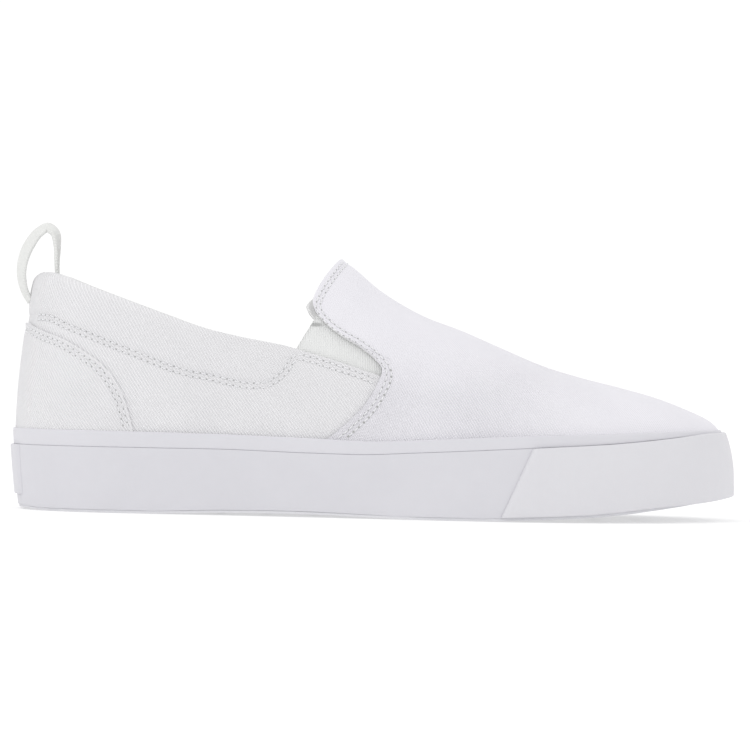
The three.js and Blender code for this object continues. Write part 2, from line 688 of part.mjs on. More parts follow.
// Heel counter: a second layer of canvas around the back.
const counterShell = shell({
  outer: () => COUNTER_THICKNESS + GAP,
  inner: () => GAP,
});
const COUNTER_FOOT_STEPS = 6;
const counterSeam = seam(COUNTER_EDGE);
const heelCounter = counterShell.intersect(sidePrism([
  [-FAR, counterSeam[0][1]],
  [-FAR, topHeight(station(0)) + GAP],
  ...footLine(station(0), counterSeam.at(-1)[0], COUNTER_FOOT_STEPS),
  ...counterSeam.slice(0, -1).reverse(),
], -FAR, FAR));

// Gores: elastic panels inside the notches, held between the upper and the lining.
const goreShell = shell({
  outer: (p) => -wallAt(p) - GAP,
  inner: (p) => -wallAt(p) - GAP - GORE_THICKNESS,
});
// The room that the upper takes up, with a gap around it.
const upperRoom = shell({
  outer: () => VAMP_STEP + GAP,
  inner: (p) => -wallAt(p) - GAP,
  past: () => GAP,
});
const GORE_MIDDLE = 0.1 * BALL_WIDTH;
const gore = (from, to) => goreShell.intersect(sidePrism(seam(GORE_EDGE), from, to)).subtract(upperRoom);
const goreOuter = gore(-FAR, -GORE_MIDDLE);
const goreInner = gore(GORE_MIDDLE, FAR);

// Tongue lining: the sheet under the vamp's tip, which reaches a little past the vamp's edge.
// back and front are shares of the length, low and high of the instep's height, fade is in mm.
const LINING_PAST = 1.3;
const LINING = { back: 0.38, front: 0.56, low: 0.74, high: 0.869, fade: 4 };
const liningLow = LINING.low * INSTEP_HEIGHT;
const liningHigh = LINING.high * INSTEP_HEIGHT;
const liningShell = shell({
  outer: () => -WALL - GAP * 2,
  inner: () => -WALL - GAP * 2 - LINING_THICKNESS,
  past: (p) => LINING_PAST * ramp(liningHigh, liningHigh - LINING.fade, p[2]),
});
const tongueLining = liningShell.intersect(sidePrism([
  [station(LINING.back), liningLow],
  [station(LINING.front), liningLow],
  [station(LINING.front), liningHigh],
  [station(LINING.back), liningHigh],
], -FAR, FAR)).subtract(upperRoom);

// Insole, inside the upper's walls.
const INSOLE_GAP = 1.8;
const insole = outlineSolid(
  TAPE_THICKNESS + WALL + INSOLE_GAP,
  overBed(GAP),
  overBed(GAP + INSOLE_THICKNESS),
  [0, 1],
);

// Pull loop: webbing that follows a path in the middle plane, turned a little about it. Its section has
// bevelled corners, in half widths and half thicknesses.
const LOOP_STEPS = 26;
const LOOP_SECTION = [[-1, -0.6], [-0.9, -1], [0.9, -1], [1, -0.6], [1, 0.6], [0.9, 1], [-0.9, 1], [-1, 0.6]];
function loopSolid() {
  const path = new THREE.CatmullRomCurve3(
    seam(LOOP_PATH).map(([x, z]) => new THREE.Vector3(x, 0, z)),
  );
  const rings = [];
  for (let i = 0; i <= LOOP_STEPS; i += 1) {
    const p = path.getPointAt(i / LOOP_STEPS);
    const t = path.getTangentAt(i / LOOP_STEPS);
    const turned = LOOP_TWIST * Math.sin(Math.PI * (i / LOOP_STEPS));
    const flat = new THREE.Vector3(-t.z, 0, t.x);
    const across = new THREE.Vector3(0, Math.cos(turned), 0).addScaledVector(flat, Math.sin(turned));
    const thick = new THREE.Vector3().crossVectors(t, across);
    rings.push(LOOP_SECTION.map(([w, h]) => (
      p.clone()
        .addScaledVector(across, (w * LOOP_WIDTH) / 2)
        .addScaledVector(thick, (h * LOOP_THICKNESS) / 2)
        .toArray()
    )));
  }
  const faces = [rings[0].slice().reverse(), rings.at(-1)];
  for (let i = 0; i < LOOP_STEPS; i += 1) {
    rings[i].forEach((corner, j) => {
      const k = (j + 1) % rings[i].length;
      faces.push([corner, rings[i][k], rings[i + 1][k], rings[i + 1][j]]);
    });
  }
  return solid(faces);
}
const loopRoom = shell({
  outer: () => GAP,
  inner: (p) => -wallAt(p) - GAP,
});
const pullLoop = loopSolid().subtract(loopRoom);

const nodes = {
  outsole: [outsole, 'rubber'],
  foxing_tape: [foxingTape, 'rubber'],
  foxing_strip: [foxingStrip, 'rubber'],
  toe_bumper: [toeBumper, 'rubber'],
  heel_patch: [heelPatch, 'rubber'],
  upper: [upper, 'canvas'],
  heel_counter: [heelCounter, 'canvas'],
  gore_lateral: [goreOuter, 'elastic'],
  gore_medial: [goreInner, 'elastic'],
  tongue_lining: [tongueLining, 'lining'],
  insole: [insole, 'foam'],
  pull_loop: [pullLoop, 'webbing'],
};
const COLOURS = {
  rubber: 0xd9d9e0,
  canvas: 0xececf0,
  elastic: 0xdfe3df,
  lining: 0xc9c9c9,
  foam: 0xe2e2e2,
  webbing: 0xe4e5e2,
};
const shoe = new THREE.Group();
for (const [name, [made, slot]] of Object.entries(nodes)) {
  const got = whole(made).getMesh();
  const geometry = new THREE.BufferGeometry();
  geometry.setAttribute('position', new THREE.BufferAttribute(new Float32Array(got.vertProperties), 3));
  geometry.setIndex(new THREE.BufferAttribute(new Uint32Array(got.triVerts), 1));
  geometry.computeVertexNormals();
  const mesh = new THREE.Mesh(geometry, new THREE.MeshStandardMaterial({ color: COLOURS[slot] }));
  mesh.name = name;
  shoe.add(mesh);
}

export default shoe;
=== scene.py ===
import math

import bmesh
import bpy
import numpy as np
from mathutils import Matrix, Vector
from mathutils.bvhtree import BVHTree


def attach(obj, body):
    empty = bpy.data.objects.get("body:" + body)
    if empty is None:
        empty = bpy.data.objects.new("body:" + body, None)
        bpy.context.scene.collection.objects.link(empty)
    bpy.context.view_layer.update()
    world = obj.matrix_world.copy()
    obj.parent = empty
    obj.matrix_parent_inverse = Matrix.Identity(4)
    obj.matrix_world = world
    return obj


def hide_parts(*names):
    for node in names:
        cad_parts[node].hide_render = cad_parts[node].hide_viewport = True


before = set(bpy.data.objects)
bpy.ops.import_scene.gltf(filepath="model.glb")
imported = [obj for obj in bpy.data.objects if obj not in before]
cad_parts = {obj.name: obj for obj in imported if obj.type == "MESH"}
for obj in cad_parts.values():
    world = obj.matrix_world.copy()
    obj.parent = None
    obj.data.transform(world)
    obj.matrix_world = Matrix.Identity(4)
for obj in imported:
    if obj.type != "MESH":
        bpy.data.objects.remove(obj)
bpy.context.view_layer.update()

# Lengths are in mm until a mesh is made. X runs from heel to toe, Z is up, the outer side is at -Y.
MM = 0.001
LENGTH = 283
BALL_WIDTH = 104
INSTEP_HEIGHT = 99.5
COLLAR_HEEL_HEIGHT = 92
FOXING_HEIGHT = 31
TOE_SPRING = 10.4
WALL = 1.6
COLLAR_PAD = 6.2
COLLAR_BAND = 17
VAMP_STEP = 0.9
COUNTER_THICKNESS = 0.9
TAPE_THICKNESS = 1.5
BUMPER_PROUD = 1.4
PATCH_PROUD = 1
STRIP_RECESS = 0.25
INSOLE_THICKNESS = 4
GORE_THICKNESS = 1.2
LINING_THICKNESS = 1
LOOP_WIDTH = 9
LOOP_THICKNESS = 2.2
GAP = 0.3
HEEL_SPOT = 38
EDGE_LIP = 0.9
FOOT_LEAN = 0.5
SLOPE_FADE = 5

# The camera stands level with the middle of the shoe, square to its side, and is rolled a little.
CAMERA_AT = (103.2, -1400, 54.1)
FIELD_WIDTH = 291.5
SENSOR = 36
CAMERA_ROLL = math.radians(-1.16)


def table(columns, rows):
    names = columns.split()
    return {name: np.array([row[i] for row in rows], float) for i, name in enumerate(names)}


def curve(rows, column):
    """A smooth curve through a column of a table, straight beyond its ends."""
    at = rows["at"]
    value = rows[column]
    steps = np.diff(value) / np.diff(at)
    weight = np.diff(at)[:-1] / (at[2:] - at[:-2])
    slopes = np.concatenate([steps[:1], steps[:-1] * (1 - weight) + steps[1:] * weight, steps[-1:]])

    def read(x):
        x = np.asarray(x, float)
        i = np.clip(np.searchsorted(at, x) - 1, 0, len(at) - 2)
        run = at[i + 1] - at[i]
        t = np.clip((x - at[i]) / run, 0, 1)
        s = 1 - t
        inside = value[i] * s * s * (1 + 2 * t) + value[i + 1] * t * t * (3 - 2 * t)
        bend = slopes[i] * run * t * s * s - slopes[i + 1] * run * t * t * s
        before = np.minimum(x - at[0], 0) * slopes[0]
        after = np.maximum(x - at[-1], 0) * slopes[-1]
        return inside + bend + before + after

    return read


def mix(a, b, t):
    return a + (b - a) * t


def ramp(none, full, x):
    """0 where x is at none, 1 where it is at full, and an S curve between."""
    x = np.clip((x - none) / (full - none), 0, 1)
    return x * x * (3 - 2 * x)


def bell(x):
    return np.exp(-x ** 2)


def unit(vectors):
    return vectors / np.maximum(np.linalg.norm(vectors, axis=-1, keepdims=True), 1e-9)


def run_lengths(points):
    """How far along a line its points are."""
    return np.concatenate([[0], np.cumsum(np.linalg.norm(np.diff(points, axis=0), axis=1))])


HALVINGS = 30


def crossing(low, high, is_over):
    """Where a test that holds from some value on begins to hold, found by halving."""
    for _ in range(HALVINGS):
        middle = (low + high) / 2
        over = is_over(middle)
        high = np.where(over, middle, high)
        low = np.where(over, low, middle)
    return low


# Plan of the foxing: shares of the length and of the ball width.
PLAN = table("at outer inner", [
    (0, 0, 0),
    (0.02, -0.178, 0.178),
    (0.06, -0.285, 0.285),
    (0.12, -0.338, 0.338),
    (0.2, -0.355, 0.352),
    (0.32, -0.362, 0.338),
    (0.42, -0.384, 0.334),
    (0.52, -0.423, 0.368),
    (0.62, -0.458, 0.444),
    (0.7, -0.457, 0.502),
    (0.78, -0.418, 0.522),
    (0.86, -0.335, 0.492),
    (0.92, -0.232, 0.43),
    (0.97, -0.09, 0.325),
    (1, 0.125, 0.125),
])
# Side of the sole: heights as shares of the foxing height and the toe spring, insets of the wall in mm.
SIDE = table("at top groove bottom tuck lean", [
    (0, 1, 0.8, 0.06, 3, 0.1),
    (0.05, 1, 0.8, 0, 2.4, 0.1),
    (0.12, 1, 0.8, 0, 1.2, 0.2),
    (0.2, 0.996, 0.8, 0, 1, 0.3),
    (0.3, 0.985, 0.8, 0.08, 1, 0.4),
    (0.42, 0.958, 0.776, 0.09, 1, 0.4),
    (0.5, 0.938, 0.776, 0.03, 1, 0.4),
    (0.54, 0.955, 0.798, 0, 1, 0.4),
    (0.645, 1.01, 0.855, 0, 1, 0.4),
    (0.72, 1.045, 0.898, 0.07, 1, 0.6),
    (0.81, 1.075, 0.95, 0.21, 0.8, 1),
    (0.9, 1.11, 1.03, 0.52, 0.5, 2.2),
    (0.96, 1.13, 1.088, 0.78, 0.3, 3.6),
    (1, 1.14, 1.1, 1, 0.2, 4.4),
])
BED = table("at height", [
    (0, 0.56),
    (0.2, 0.54),
    (0.5, 0.46),
    (0.7, 0.46),
    (0.85, 0.56),
    (1, 0.78),
])
RIDGE = table("at height", [
    (0.04, 1.05),
    (0.2, 1.06),
    (0.36, 1.08),
    (0.41, 1.045),
    (0.4493, 0.994),
    (0.505, 0.87),
    (0.561, 0.781),
    (0.617, 0.723),
    (0.673, 0.657),
    (0.729, 0.593),
    (0.784, 0.548),
    (0.84, 0.511),
    (0.895, 0.468),
    (0.935, 0.424),
    (0.968, 0.377),
])
MIDDLE = table("at aside", [
    (0.04, 0),
    (0.4, 0),
    (0.5, 0.018),
    (0.7, 0.062),
    (0.925, 0.1),
])
# The mouth's line behind the gores and at them, as a share of the collar's height at the heel.
MOUTH = table("at height", [
    (0, 1.012),
    (0.03, 1.002),
    (0.06, 0.99),
    (0.1, 0.949),
    (0.155, 0.89),
    (0.209, 0.833),
    (0.263, 0.778),
    (0.318, 0.738),
    (0.366, 0.711),
    (0.3775, 0.704),
    (0.39, 0.694),
    (0.4096, 0.677),
    (0.449, 0.643),
    (0.488, 0.605),
    (0.507, 0.587),
    (0.54, 0.55),
])
RIBS = table("at crown side rise shoulder drop", [
    (0, 0.925, 0, 0.72, 0.68, 0),
    (0.1, 0.908, 0, 0.66, 0.66, 0),
    (0.2, 0.862, 0, 0.58, 0.62, 0),
    (0.3, 0.775, 0, 0.54, 0.61, 0),
    (0.4, 0.65, 0, 0.53, 0.62, 0),
    (0.5, 0.5, 0, 0.52, 0.66, 0),
    (0.56, 0.415, 0, 0.49, 0.7, 0.02),
    (0.62, 0.345, 0.17, 0.45, 0.66, 0.24),
    (0.7, 0.25, 0.26, 0.42, 0.66, 0.42),
    (0.8, 0.14, 0.25, 0.4, 0.7, 0.45),
    (0.9, 0.06, 0.15, 0.4, 0.72, 0.45),
    (1, 0.039, 0, 0.4, 0.74, 0.45),
])
# Lines seen from the side, as shares of the length and of the collar's height at the heel.
VAMP_EDGE = [
    (0.4485, 1.068), (0.437, 1.017), (0.4255, 0.962), (0.4165, 0.908), (0.4128, 0.87), (0.417, 0.83),
    (0.429, 0.787), (0.448, 0.743), (0.4745, 0.698), (0.496, 0.648), (0.508, 0.6), (0.501, 0.53),
    (0.489, 0.466), (0.466, 0.39), (0.437, 0.315), (0.42, 0.275),
]
COUNTER_EDGE = [
    (0.0262, 0.779), (0.033, 0.768), (0.05, 0.744), (0.079, 0.711), (0.107, 0.664), (0.13, 0.617),
    (0.147, 0.562), (0.161, 0.49), (0.171, 0.404), (0.178, 0.32), (0.18, 0.28),
]
COLLAR_SEAM = [
    (0.039, 0.813), (0.0604, 0.806), (0.0774, 0.782), (0.106, 0.748), (0.1346, 0.714), (0.1629, 0.681),
    (0.1915, 0.649), (0.22, 0.616), (0.2484, 0.591), (0.2767, 0.576), (0.3053, 0.557), (0.331, 0.545),
    (0.3544, 0.553), (0.3756, 0.601), (0.3858, 0.651), (0.3948, 0.667), (0.41, 0.659), (0.449, 0.625),
    (0.488, 0.587), (0.503, 0.568),
]
GORE_FREE_EDGE = [(0.3832, 0.645), (0.4246, 0.87)]
BUMPER_END = {"top": 0.709, "high": 0.284, "bottom": 0.668, "low": 0}
PATCH_FRONT = 4.8
PATCH_LOW = 5.6
LOOP_PATH = [
    (0.0235, 0.868), (0.0155, 0.915), (0.0107, 0.991), (0.0138, 1.058), (0.0223, 1.117), (0.034, 1.163),
    (0.0455, 1.183), (0.0552, 1.163), (0.059, 1.11), (0.0592, 1.045), (0.0608, 0.975), (0.069, 0.91),
    (0.075, 0.845),
]
LOOP_TWIST = table("at turn", [
    (0, 0.2),
    (0.15, 0.36),
    (0.35, 0.48),
    (0.5, 0.34),
    (0.65, 0.06),
    (0.85, -0.06),
    (1, 0),
])

TAPE_BACK = PATCH_PROUD - 0.2
TAPE_LENGTH = LENGTH - BUMPER_PROUD - TAPE_BACK
plan_angle = {"at": np.arccos(1 - 2 * PLAN["at"]), "outer": PLAN["outer"], "inner": PLAN["inner"]}
plan_outer = curve(plan_angle, "outer")
plan_inner = curve(plan_angle, "inner")
side = {name: curve(SIDE, name) for name in ("top", "groove", "bottom", "tuck", "lean")}
bed_share = curve(BED, "height")
ridge_share = curve(RIDGE, "height")
middle_share = curve(MIDDLE, "aside")
mouth_share = curve(MOUTH, "height")
rib = {name: curve(RIBS, name) for name in ("crown", "side", "rise", "shoulder", "drop")}


def share(x):
    return (x + HEEL_SPOT) / LENGTH


def station(at):
    return at * LENGTH - HEEL_SPOT


def top_height(x):
    return side["top"](share(x)) * FOXING_HEIGHT


def groove_height(x):
    return side["groove"](share(x)) * FOXING_HEIGHT


def bottom_height(x):
    return np.maximum(side["bottom"](share(x)), 0) * TOE_SPRING


def bed_height(x):
    return bed_share(share(x)) * FOXING_HEIGHT


def ridge_height(x):
    return ridge_share(share(x)) * INSTEP_HEIGHT - VAMP_STEP


def mouth_height(x):
    return mouth_share(share(x)) * COLLAR_HEEL_HEIGHT


def plan_point(turn):
    """The outline: turn runs from 1 at the toe along the outer side to 0 at the heel, then to -1."""
    angle = np.pi * np.abs(turn)
    x = TAPE_BACK - HEEL_SPOT + TAPE_LENGTH * (1 - np.cos(angle)) / 2
    y = np.where(turn < 0, plan_inner(angle), plan_outer(angle)) * BALL_WIDTH
    return x, y


STEP = 0.004


def plan_at(turn, inset):
    """A point of the outline moved inwards, square to it."""
    x, y = plan_point(turn)
    ax, ay = plan_point((turn + STEP + 1) % 2 - 1)
    bx, by = plan_point((turn - STEP + 1) % 2 - 1)
    length = np.hypot(ax - bx, ay - by)
    return x + inset * (by - ay) / length, y + inset * (ax - bx) / length


def form(u, v):
    """The upper's form: u from 0 at the toe to 1 at the heel (outer side) or -1, v from foot to crown."""
    u, v = np.broadcast_arrays(np.asarray(u, float), np.asarray(v, float))
    u = np.where(u > 1, u - 2, np.where(u < -1, u + 2, u))
    s = np.abs(u)
    sign = np.where(u < 0, -1.0, 1.0)
    turn = sign * (1 - s)
    flat_x, _ = plan_at(turn, 0)
    inset = TAPE_THICKNESS + GAP + FOOT_LEAN * side["lean"](share(flat_x))
    foot_x, foot_y = plan_at(turn, inset)
    crown_x = station(rib["crown"](s))
    crown_y = middle_share(rib["crown"](s)) * BALL_WIDTH - sign * np.maximum(rib["side"](s), 0) * BALL_WIDTH
    foot_z = bed_height(flat_x) + GAP
    crown_z = ridge_height(crown_x)
    width = np.hypot(foot_x - crown_x, foot_y - crown_y)
    out_x = (foot_x - crown_x) / width
    out_y = (foot_y - crown_y) / width
    reach = rib["shoulder"](s) * width
    drop = np.maximum(rib["drop"](s), 0)
    slope = (ridge_height(crown_x + 1) - ridge_height(crown_x - 1)) / 2
    low_z = mix(foot_z, crown_z, rib["rise"](s))
    level = np.clip(1 - SLOPE_FADE * drop, 0, 1)
    high_z = crown_z + slope * out_x * reach * level - drop * (crown_z - foot_z)
    w = 1 - v
    k0, k1, k2, k3 = w ** 3, 3 * w * w * v, 3 * w * v * v, v ** 3
    x = (k0 + k1) * foot_x + k2 * (crown_x + out_x * reach) + k3 * crown_x
    y = (k0 + k1) * foot_y + k2 * (crown_y + out_y * reach) + k3 * crown_y
    z = k0 * foot_z + k1 * low_z + k2 * high_z + k3 * crown_z
    return np.stack([x, y, z], axis=-1)


NORMAL_TOP = 0.98
RIDGE_BLEND = 0.9


def side_normal(u, v):
    v = np.minimum(v, NORMAL_TOP)
    along = form(u + STEP, v) - form(u - STEP, v)
    up = form(u, np.minimum(v + STEP, 1)) - form(u, np.maximum(v - STEP, 0))
    return unit(np.cross(up, along))


def form_normal(u, v):
    """The outward normal, blended over the ridge with that of the other side."""
    u, v = np.broadcast_arrays(np.asarray(u, float), np.asarray(v, float))
    here = side_normal(u, v)
    ridge = (rib["side"](np.abs(u)) < 1e-6) * ramp(RIDGE_BLEND, 1, v) / 2
    return unit(here * (1 - ridge[..., None]) + side_normal(-u, v) * ridge[..., None])


def locate(x, z, hand):
    """The place on the form, on the side hand, that is seen from the side at x and z."""
    # A coarse grid gives the start, and Newton's steps close in from there.
    grid_u, grid_v = np.meshgrid(np.linspace(0.01, 1, 130), np.linspace(0, 1, 90), indexing="ij")
    grid = form(hand * grid_u, grid_v).reshape(-1, 3)
    nearest = [np.argmin((grid[:, 0] - a) ** 2 + (grid[:, 2] - b) ** 2) for a, b in zip(x, z)]
    u = grid_u.ravel()[nearest]
    v = grid_v.ravel()[nearest]
    step = 1e-4
    for _ in range(12):
        here = form(hand * u, v)
        du = (form(hand * (u + step), v) - here) / step
        dv = (form(hand * u, v + step) - here) / step
        miss_x = x - here[:, 0]
        miss_z = z - here[:, 2]
        det = du[:, 0] * dv[:, 2] - du[:, 2] * dv[:, 0]
        det = np.where(np.abs(det) < 1, 1, det)
        move_u = (miss_x * dv[:, 2] - miss_z * dv[:, 0]) / det
        move_v = (du[:, 0] * miss_z - du[:, 2] * miss_x) / det
        u = np.clip(u + np.clip(move_u, -0.02, 0.02), 0, 1)
        v = np.clip(v + np.clip(move_v, -0.03, 0.03), 0, 1)
    return u, v


def in_side_view(points):
    """Points given as shares, in mm."""
    return np.array([(station(a), b * COLLAR_HEEL_HEIGHT) for a, b in points])


def drawn(points, count):
    """A smooth line through points of the side view, in mm, at even distances."""
    corners = in_side_view(points)
    lengths = run_lengths(corners)
    at = np.linspace(0, lengths[-1], count)
    line = [curve({"at": lengths, "value": corners[:, i]}, "value")(at) for i in (0, 1)]
    return np.stack(line, axis=-1)


def shifted(line, by):
    """A line of the side view moved to its left by a distance, or by one for each point."""
    ahead = np.gradient(line, axis=0)
    ahead /= np.linalg.norm(ahead, axis=1, keepdims=True)
    return line + np.reshape(by, (-1, 1)) * np.stack([-ahead[:, 1], ahead[:, 0]], axis=-1)


def distance_to(points, line):
    """How far points of the side view are from a line of it."""
    flat = points.reshape(-1, 2)
    best = np.full(len(flat), 1e9)
    for a, b in zip(line[:-1], line[1:]):
        run = b - a
        t = np.clip(((flat - a) @ run) / (run @ run), 0, 1)
        best = np.minimum(best, np.linalg.norm(flat - a - t[:, None] * run, axis=1))
    return best.reshape(points.shape[:-1])


# Node materials.
class Nodes:
    """A material's node tree, with one method for each kind of step."""

    def __init__(self, name):
        self.material = bpy.data.materials.new(name)
        self.material.use_nodes = True
        self.tree = self.material.node_tree
        self.shader = self.tree.nodes["Principled BSDF"]

    def node(self, kind, **settings):
        made = self.tree.nodes.new(kind)
        for key, value in settings.items():
            setattr(made, key, value)
        return made

    def link(self, source, target):
        if isinstance(source, (int, float)):
            target.default_value = source
        else:
            self.tree.links.new(source, target)

    def math(self, operation, a, b=0.0):
        made = self.node("ShaderNodeMath", operation=operation)
        self.link(a, made.inputs[0])
        self.link(b, made.inputs[1])
        return made.outputs[0]

    def cloth(self):
        """Coordinates along and across the cloth, in mm."""
        uv = self.node("ShaderNodeUVMap", uv_map="cloth")
        parts = self.node("ShaderNodeSeparateXYZ")
        self.tree.links.new(uv.outputs[0], parts.inputs[0])
        return parts.outputs[0], parts.outputs[1]

    def place(self):
        return self.node("ShaderNodeTexCoord").outputs["Object"]

    def noise(self, scale, detail=2.0, where=None):
        made = self.node("ShaderNodeTexNoise")
        made.inputs["Scale"].default_value = scale
        made.inputs["Detail"].default_value = detail
        self.tree.links.new(where or self.place(), made.inputs["Vector"])
        return made.outputs["Fac"]

    def wave(self, along, pitch, shift=0.0):
        turned = self.math("MULTIPLY", along, 2 * math.pi / pitch)
        return self.math("SINE", self.math("ADD", turned, shift))

    def axes(self):
        """The place in the shoe's own frame, in mm."""
        parts = self.node("ShaderNodeSeparateXYZ")
        self.tree.links.new(self.place(), parts.inputs[0])
        return [self.math("MULTIPLY", value, 1 / MM) for value in parts.outputs]

    def ramp(self, value, none, full):
        """0 where a value is at none, 1 where it is at full, and straight between."""
        grown = self.math("DIVIDE", self.math("SUBTRACT", value, none), full - none)
        return self.math("MAXIMUM", self.math("MINIMUM", grown, 1), 0)

    def colour(self, share_of_second, first, second):
        made = self.node("ShaderNodeMix", data_type="RGBA", clamp_factor=False)
        self.link(share_of_second, made.inputs[0])
        made.inputs[6].default_value = (*first, 1)
        made.inputs[7].default_value = (*second, 1)
        self.tree.links.new(made.outputs[2], self.shader.inputs["Base Color"])

    def bump(self, height, depth):
        made = self.node("ShaderNodeBump")
        made.inputs["Strength"].default_value = 1
        made.inputs["Distance"].default_value = depth * MM
        self.link(height, made.inputs["Height"])
        before = self.shader.inputs["Normal"].links
        if before:
            self.tree.links.new(before[0].from_socket, made.inputs["Normal"])
        self.tree.links.new(made.outputs[0], self.shader.inputs["Normal"])

    def set(self, **values):
        for name, value in values.items():
            self.shader.inputs[name.replace("_", " ")].default_value = value


WALE_PITCH = 1.0
WALE_ANGLE = math.radians(52)
YARN_PITCH = 0.62
WEAVE_DEPTH = 0.14
PRESSED_HEIGHT = (46, 70)
PRESSED_TOE = (145, 195)


def canvas_material(name, light, dark, pressed=0.0):
    """White cotton twill: slanted wales broken by the yarns that cross them, and a little fluff.

    A share of its depth, pressed, is lost over the ridge and the toe."""
    n = Nodes(name)
    x, y = n.cloth()
    drift = n.math("MULTIPLY", n.noise(90, 2), 0.5)
    slanted = n.math("ADD", n.math("MULTIPLY", x, math.sin(WALE_ANGLE)),
                     n.math("MULTIPLY", y, math.cos(WALE_ANGLE)))
    wales = n.wave(n.math("ADD", slanted, drift), WALE_PITCH)
    yarns = n.wave(n.math("ADD", y, n.math("MULTIPLY", x, 0.12)), YARN_PITCH)
    weave = n.math("ADD", n.math("MULTIPLY", wales, 0.9), n.math("MULTIPLY", yarns, 0.1))
    if pressed:
        station_x, _, height = n.axes()
        smoothed = n.math("MAXIMUM", n.ramp(height, *PRESSED_HEIGHT), n.ramp(station_x, *PRESSED_TOE))
        weave = n.math("MULTIPLY", weave, n.math("SUBTRACT", 1, n.math("MULTIPLY", smoothed, pressed)))
    slubs = n.noise(420, 2)
    n.bump(n.math("ADD", weave, n.math("MULTIPLY", slubs, 0.3)), WEAVE_DEPTH)
    n.bump(n.noise(60, 2), 0.2)
    shade = n.math("ADD", n.math("MULTIPLY", weave, -0.45), n.math("MULTIPLY", n.noise(45, 4), 0.7))
    n.colour(n.math("ADD", shade, 0.1), light, dark)
    n.set(Roughness=0.88, Specular_IOR_Level=0.25, Sheen_Weight=0.12, Sheen_Roughness=0.5)
    return n.material


def rubber_material(name, light, dark, grain):
    """Moulded white rubber: satin, faintly mottled, with a fine grain and rubbed patches."""
    n = Nodes(name)
    mottle = n.noise(28, 5)
    scuffs = n.noise(240, 6)
    n.bump(n.noise(1500, 2), grain)
    n.bump(n.noise(90, 3), 0.12)
    n.colour(n.math("ADD", n.math("MULTIPLY", mottle, 0.8), n.math("MULTIPLY", scuffs, 0.25)), light, dark)
    rough = n.math("ADD", n.math("MULTIPLY", scuffs, 0.25), 0.36)
    n.link(rough, n.shader.inputs["Roughness"])
    n.set(Specular_IOR_Level=0.4)
    return n.material


WAFFLE_PITCH = 12
WAFFLE_DEPTH = 0.7


def tread_material():
    """The sole's underside: rubber with a fine waffle between the grooves."""
    n = Nodes("outsole_rubber")
    x, y, _ = n.axes()
    one = n.math("ABSOLUTE", n.wave(n.math("ADD", x, y), WAFFLE_PITCH))
    two = n.math("ABSOLUTE", n.wave(n.math("SUBTRACT", x, y), WAFFLE_PITCH))
    waffle = n.math("SMOOTH_MIN", one, two)
    raised = n.math("MINIMUM", n.math("MULTIPLY", waffle, 3), 1)
    facing = n.node("ShaderNodeSeparateXYZ")
    n.tree.links.new(n.node("ShaderNodeNewGeometry").outputs["Normal"], facing.inputs[0])
    underneath = n.math("LESS_THAN", facing.outputs[2], -0.7)
    raised = n.math("MULTIPLY", raised, underneath)
    n.bump(n.noise(1500, 2), 0.03)
    n.bump(raised, WAFFLE_DEPTH)
    n.colour(n.noise(30, 5), (0.72, 0.72, 0.745), (0.62, 0.62, 0.65))
    n.set(Roughness=0.55, Specular_IOR_Level=0.35)
    return n.material


# Where the elastic tucks in behind the vamp's corner, and how dark the painted shade in there gets.
TUCK_SHADE_AT = (80.4, 72.8)
TUCK_SHADE_RADIUS = 1.1
TUCK_SHADE_LENGTH = 3.2
TUCK_SHADE_DARKNESS = 4


def elastic_material():
    """Woven elastic: close cords across the stretch, with painted shade where its top tucks in."""
    n = Nodes("gore_elastic")
    x, y = n.cloth()
    cords = n.wave(x, 0.9)
    picks = n.wave(y, 0.7)
    n.bump(n.math("ADD", cords, n.math("MULTIPLY", picks, 0.4)), 0.06)
    station_x, _, height = n.axes()
    aside = n.math("MULTIPLY", n.math("SUBTRACT", station_x, TUCK_SHADE_AT[0]), 1 / TUCK_SHADE_LENGTH)
    above = n.math("SUBTRACT", height, TUCK_SHADE_AT[1])
    squares = [n.math("MULTIPLY", value, value) for value in (aside, above)]
    far = n.math("SQRT", n.math("ADD", *squares))
    # Painted shade: the colour darkens towards where the top tucks in behind the vamp.
    tuck_shade = n.math("MULTIPLY", n.ramp(far, TUCK_SHADE_RADIUS, TUCK_SHADE_RADIUS / 3), TUCK_SHADE_DARKNESS)
    shade = n.math("ADD", n.math("MULTIPLY", cords, -0.15), n.noise(60, 3))
    n.colour(n.math("ADD", shade, tuck_shade), (0.79, 0.795, 0.79), (0.71, 0.715, 0.71))
    n.set(Roughness=0.8, Specular_IOR_Level=0.25, Sheen_Weight=0.1)
    return n.material


def lining_material(name, light, dark):
    """Knitted lining with a small mesh of dimples."""
    n = Nodes(name)
    x, y = n.cloth()
    dimples = n.math("MULTIPLY", n.wave(x, 1.8), n.wave(y, 1.8))
    n.bump(n.math("ADD", dimples, n.math("MULTIPLY", n.noise(700, 2), 0.7)), 0.12)
    n.colour(n.math("ADD", n.math("MULTIPLY", dimples, -0.2), n.noise(50, 3)), light, dark)
    n.set(Roughness=0.95, Specular_IOR_Level=0.15, Sheen_Weight=0.15)
    return n.material


def webbing_material():
    """Cotton tape with a herringbone of two slants that meet in its middle."""
    n = Nodes("loop_webbing")
    x, y = n.cloth()
    slant = n.wave(n.math("ADD", x, n.math("ABSOLUTE", y)), 1.15)
    ends = n.wave(y, 0.75)
    n.bump(n.math("ADD", slant, n.math("MULTIPLY", ends, 0.5)), 0.06)
    n.colour(n.math("ADD", n.math("MULTIPLY", slant, -0.12), n.noise(80, 3)),
             (0.8, 0.805, 0.79), (0.715, 0.72, 0.705))
    n.set(Roughness=0.9, Specular_IOR_Level=0.2, Sheen_Weight=0.15)
    return n.material


def thread_material():
    """Sewing thread, a little glossier than the cloth."""
    n = Nodes("thread")
    n.bump(n.noise(2500, 2), 0.05)
    n.colour(n.noise(400, 2), (0.84, 0.84, 0.85), (0.72, 0.72, 0.74))
    n.set(Roughness=0.6, Specular_IOR_Level=0.4)
    return n.material


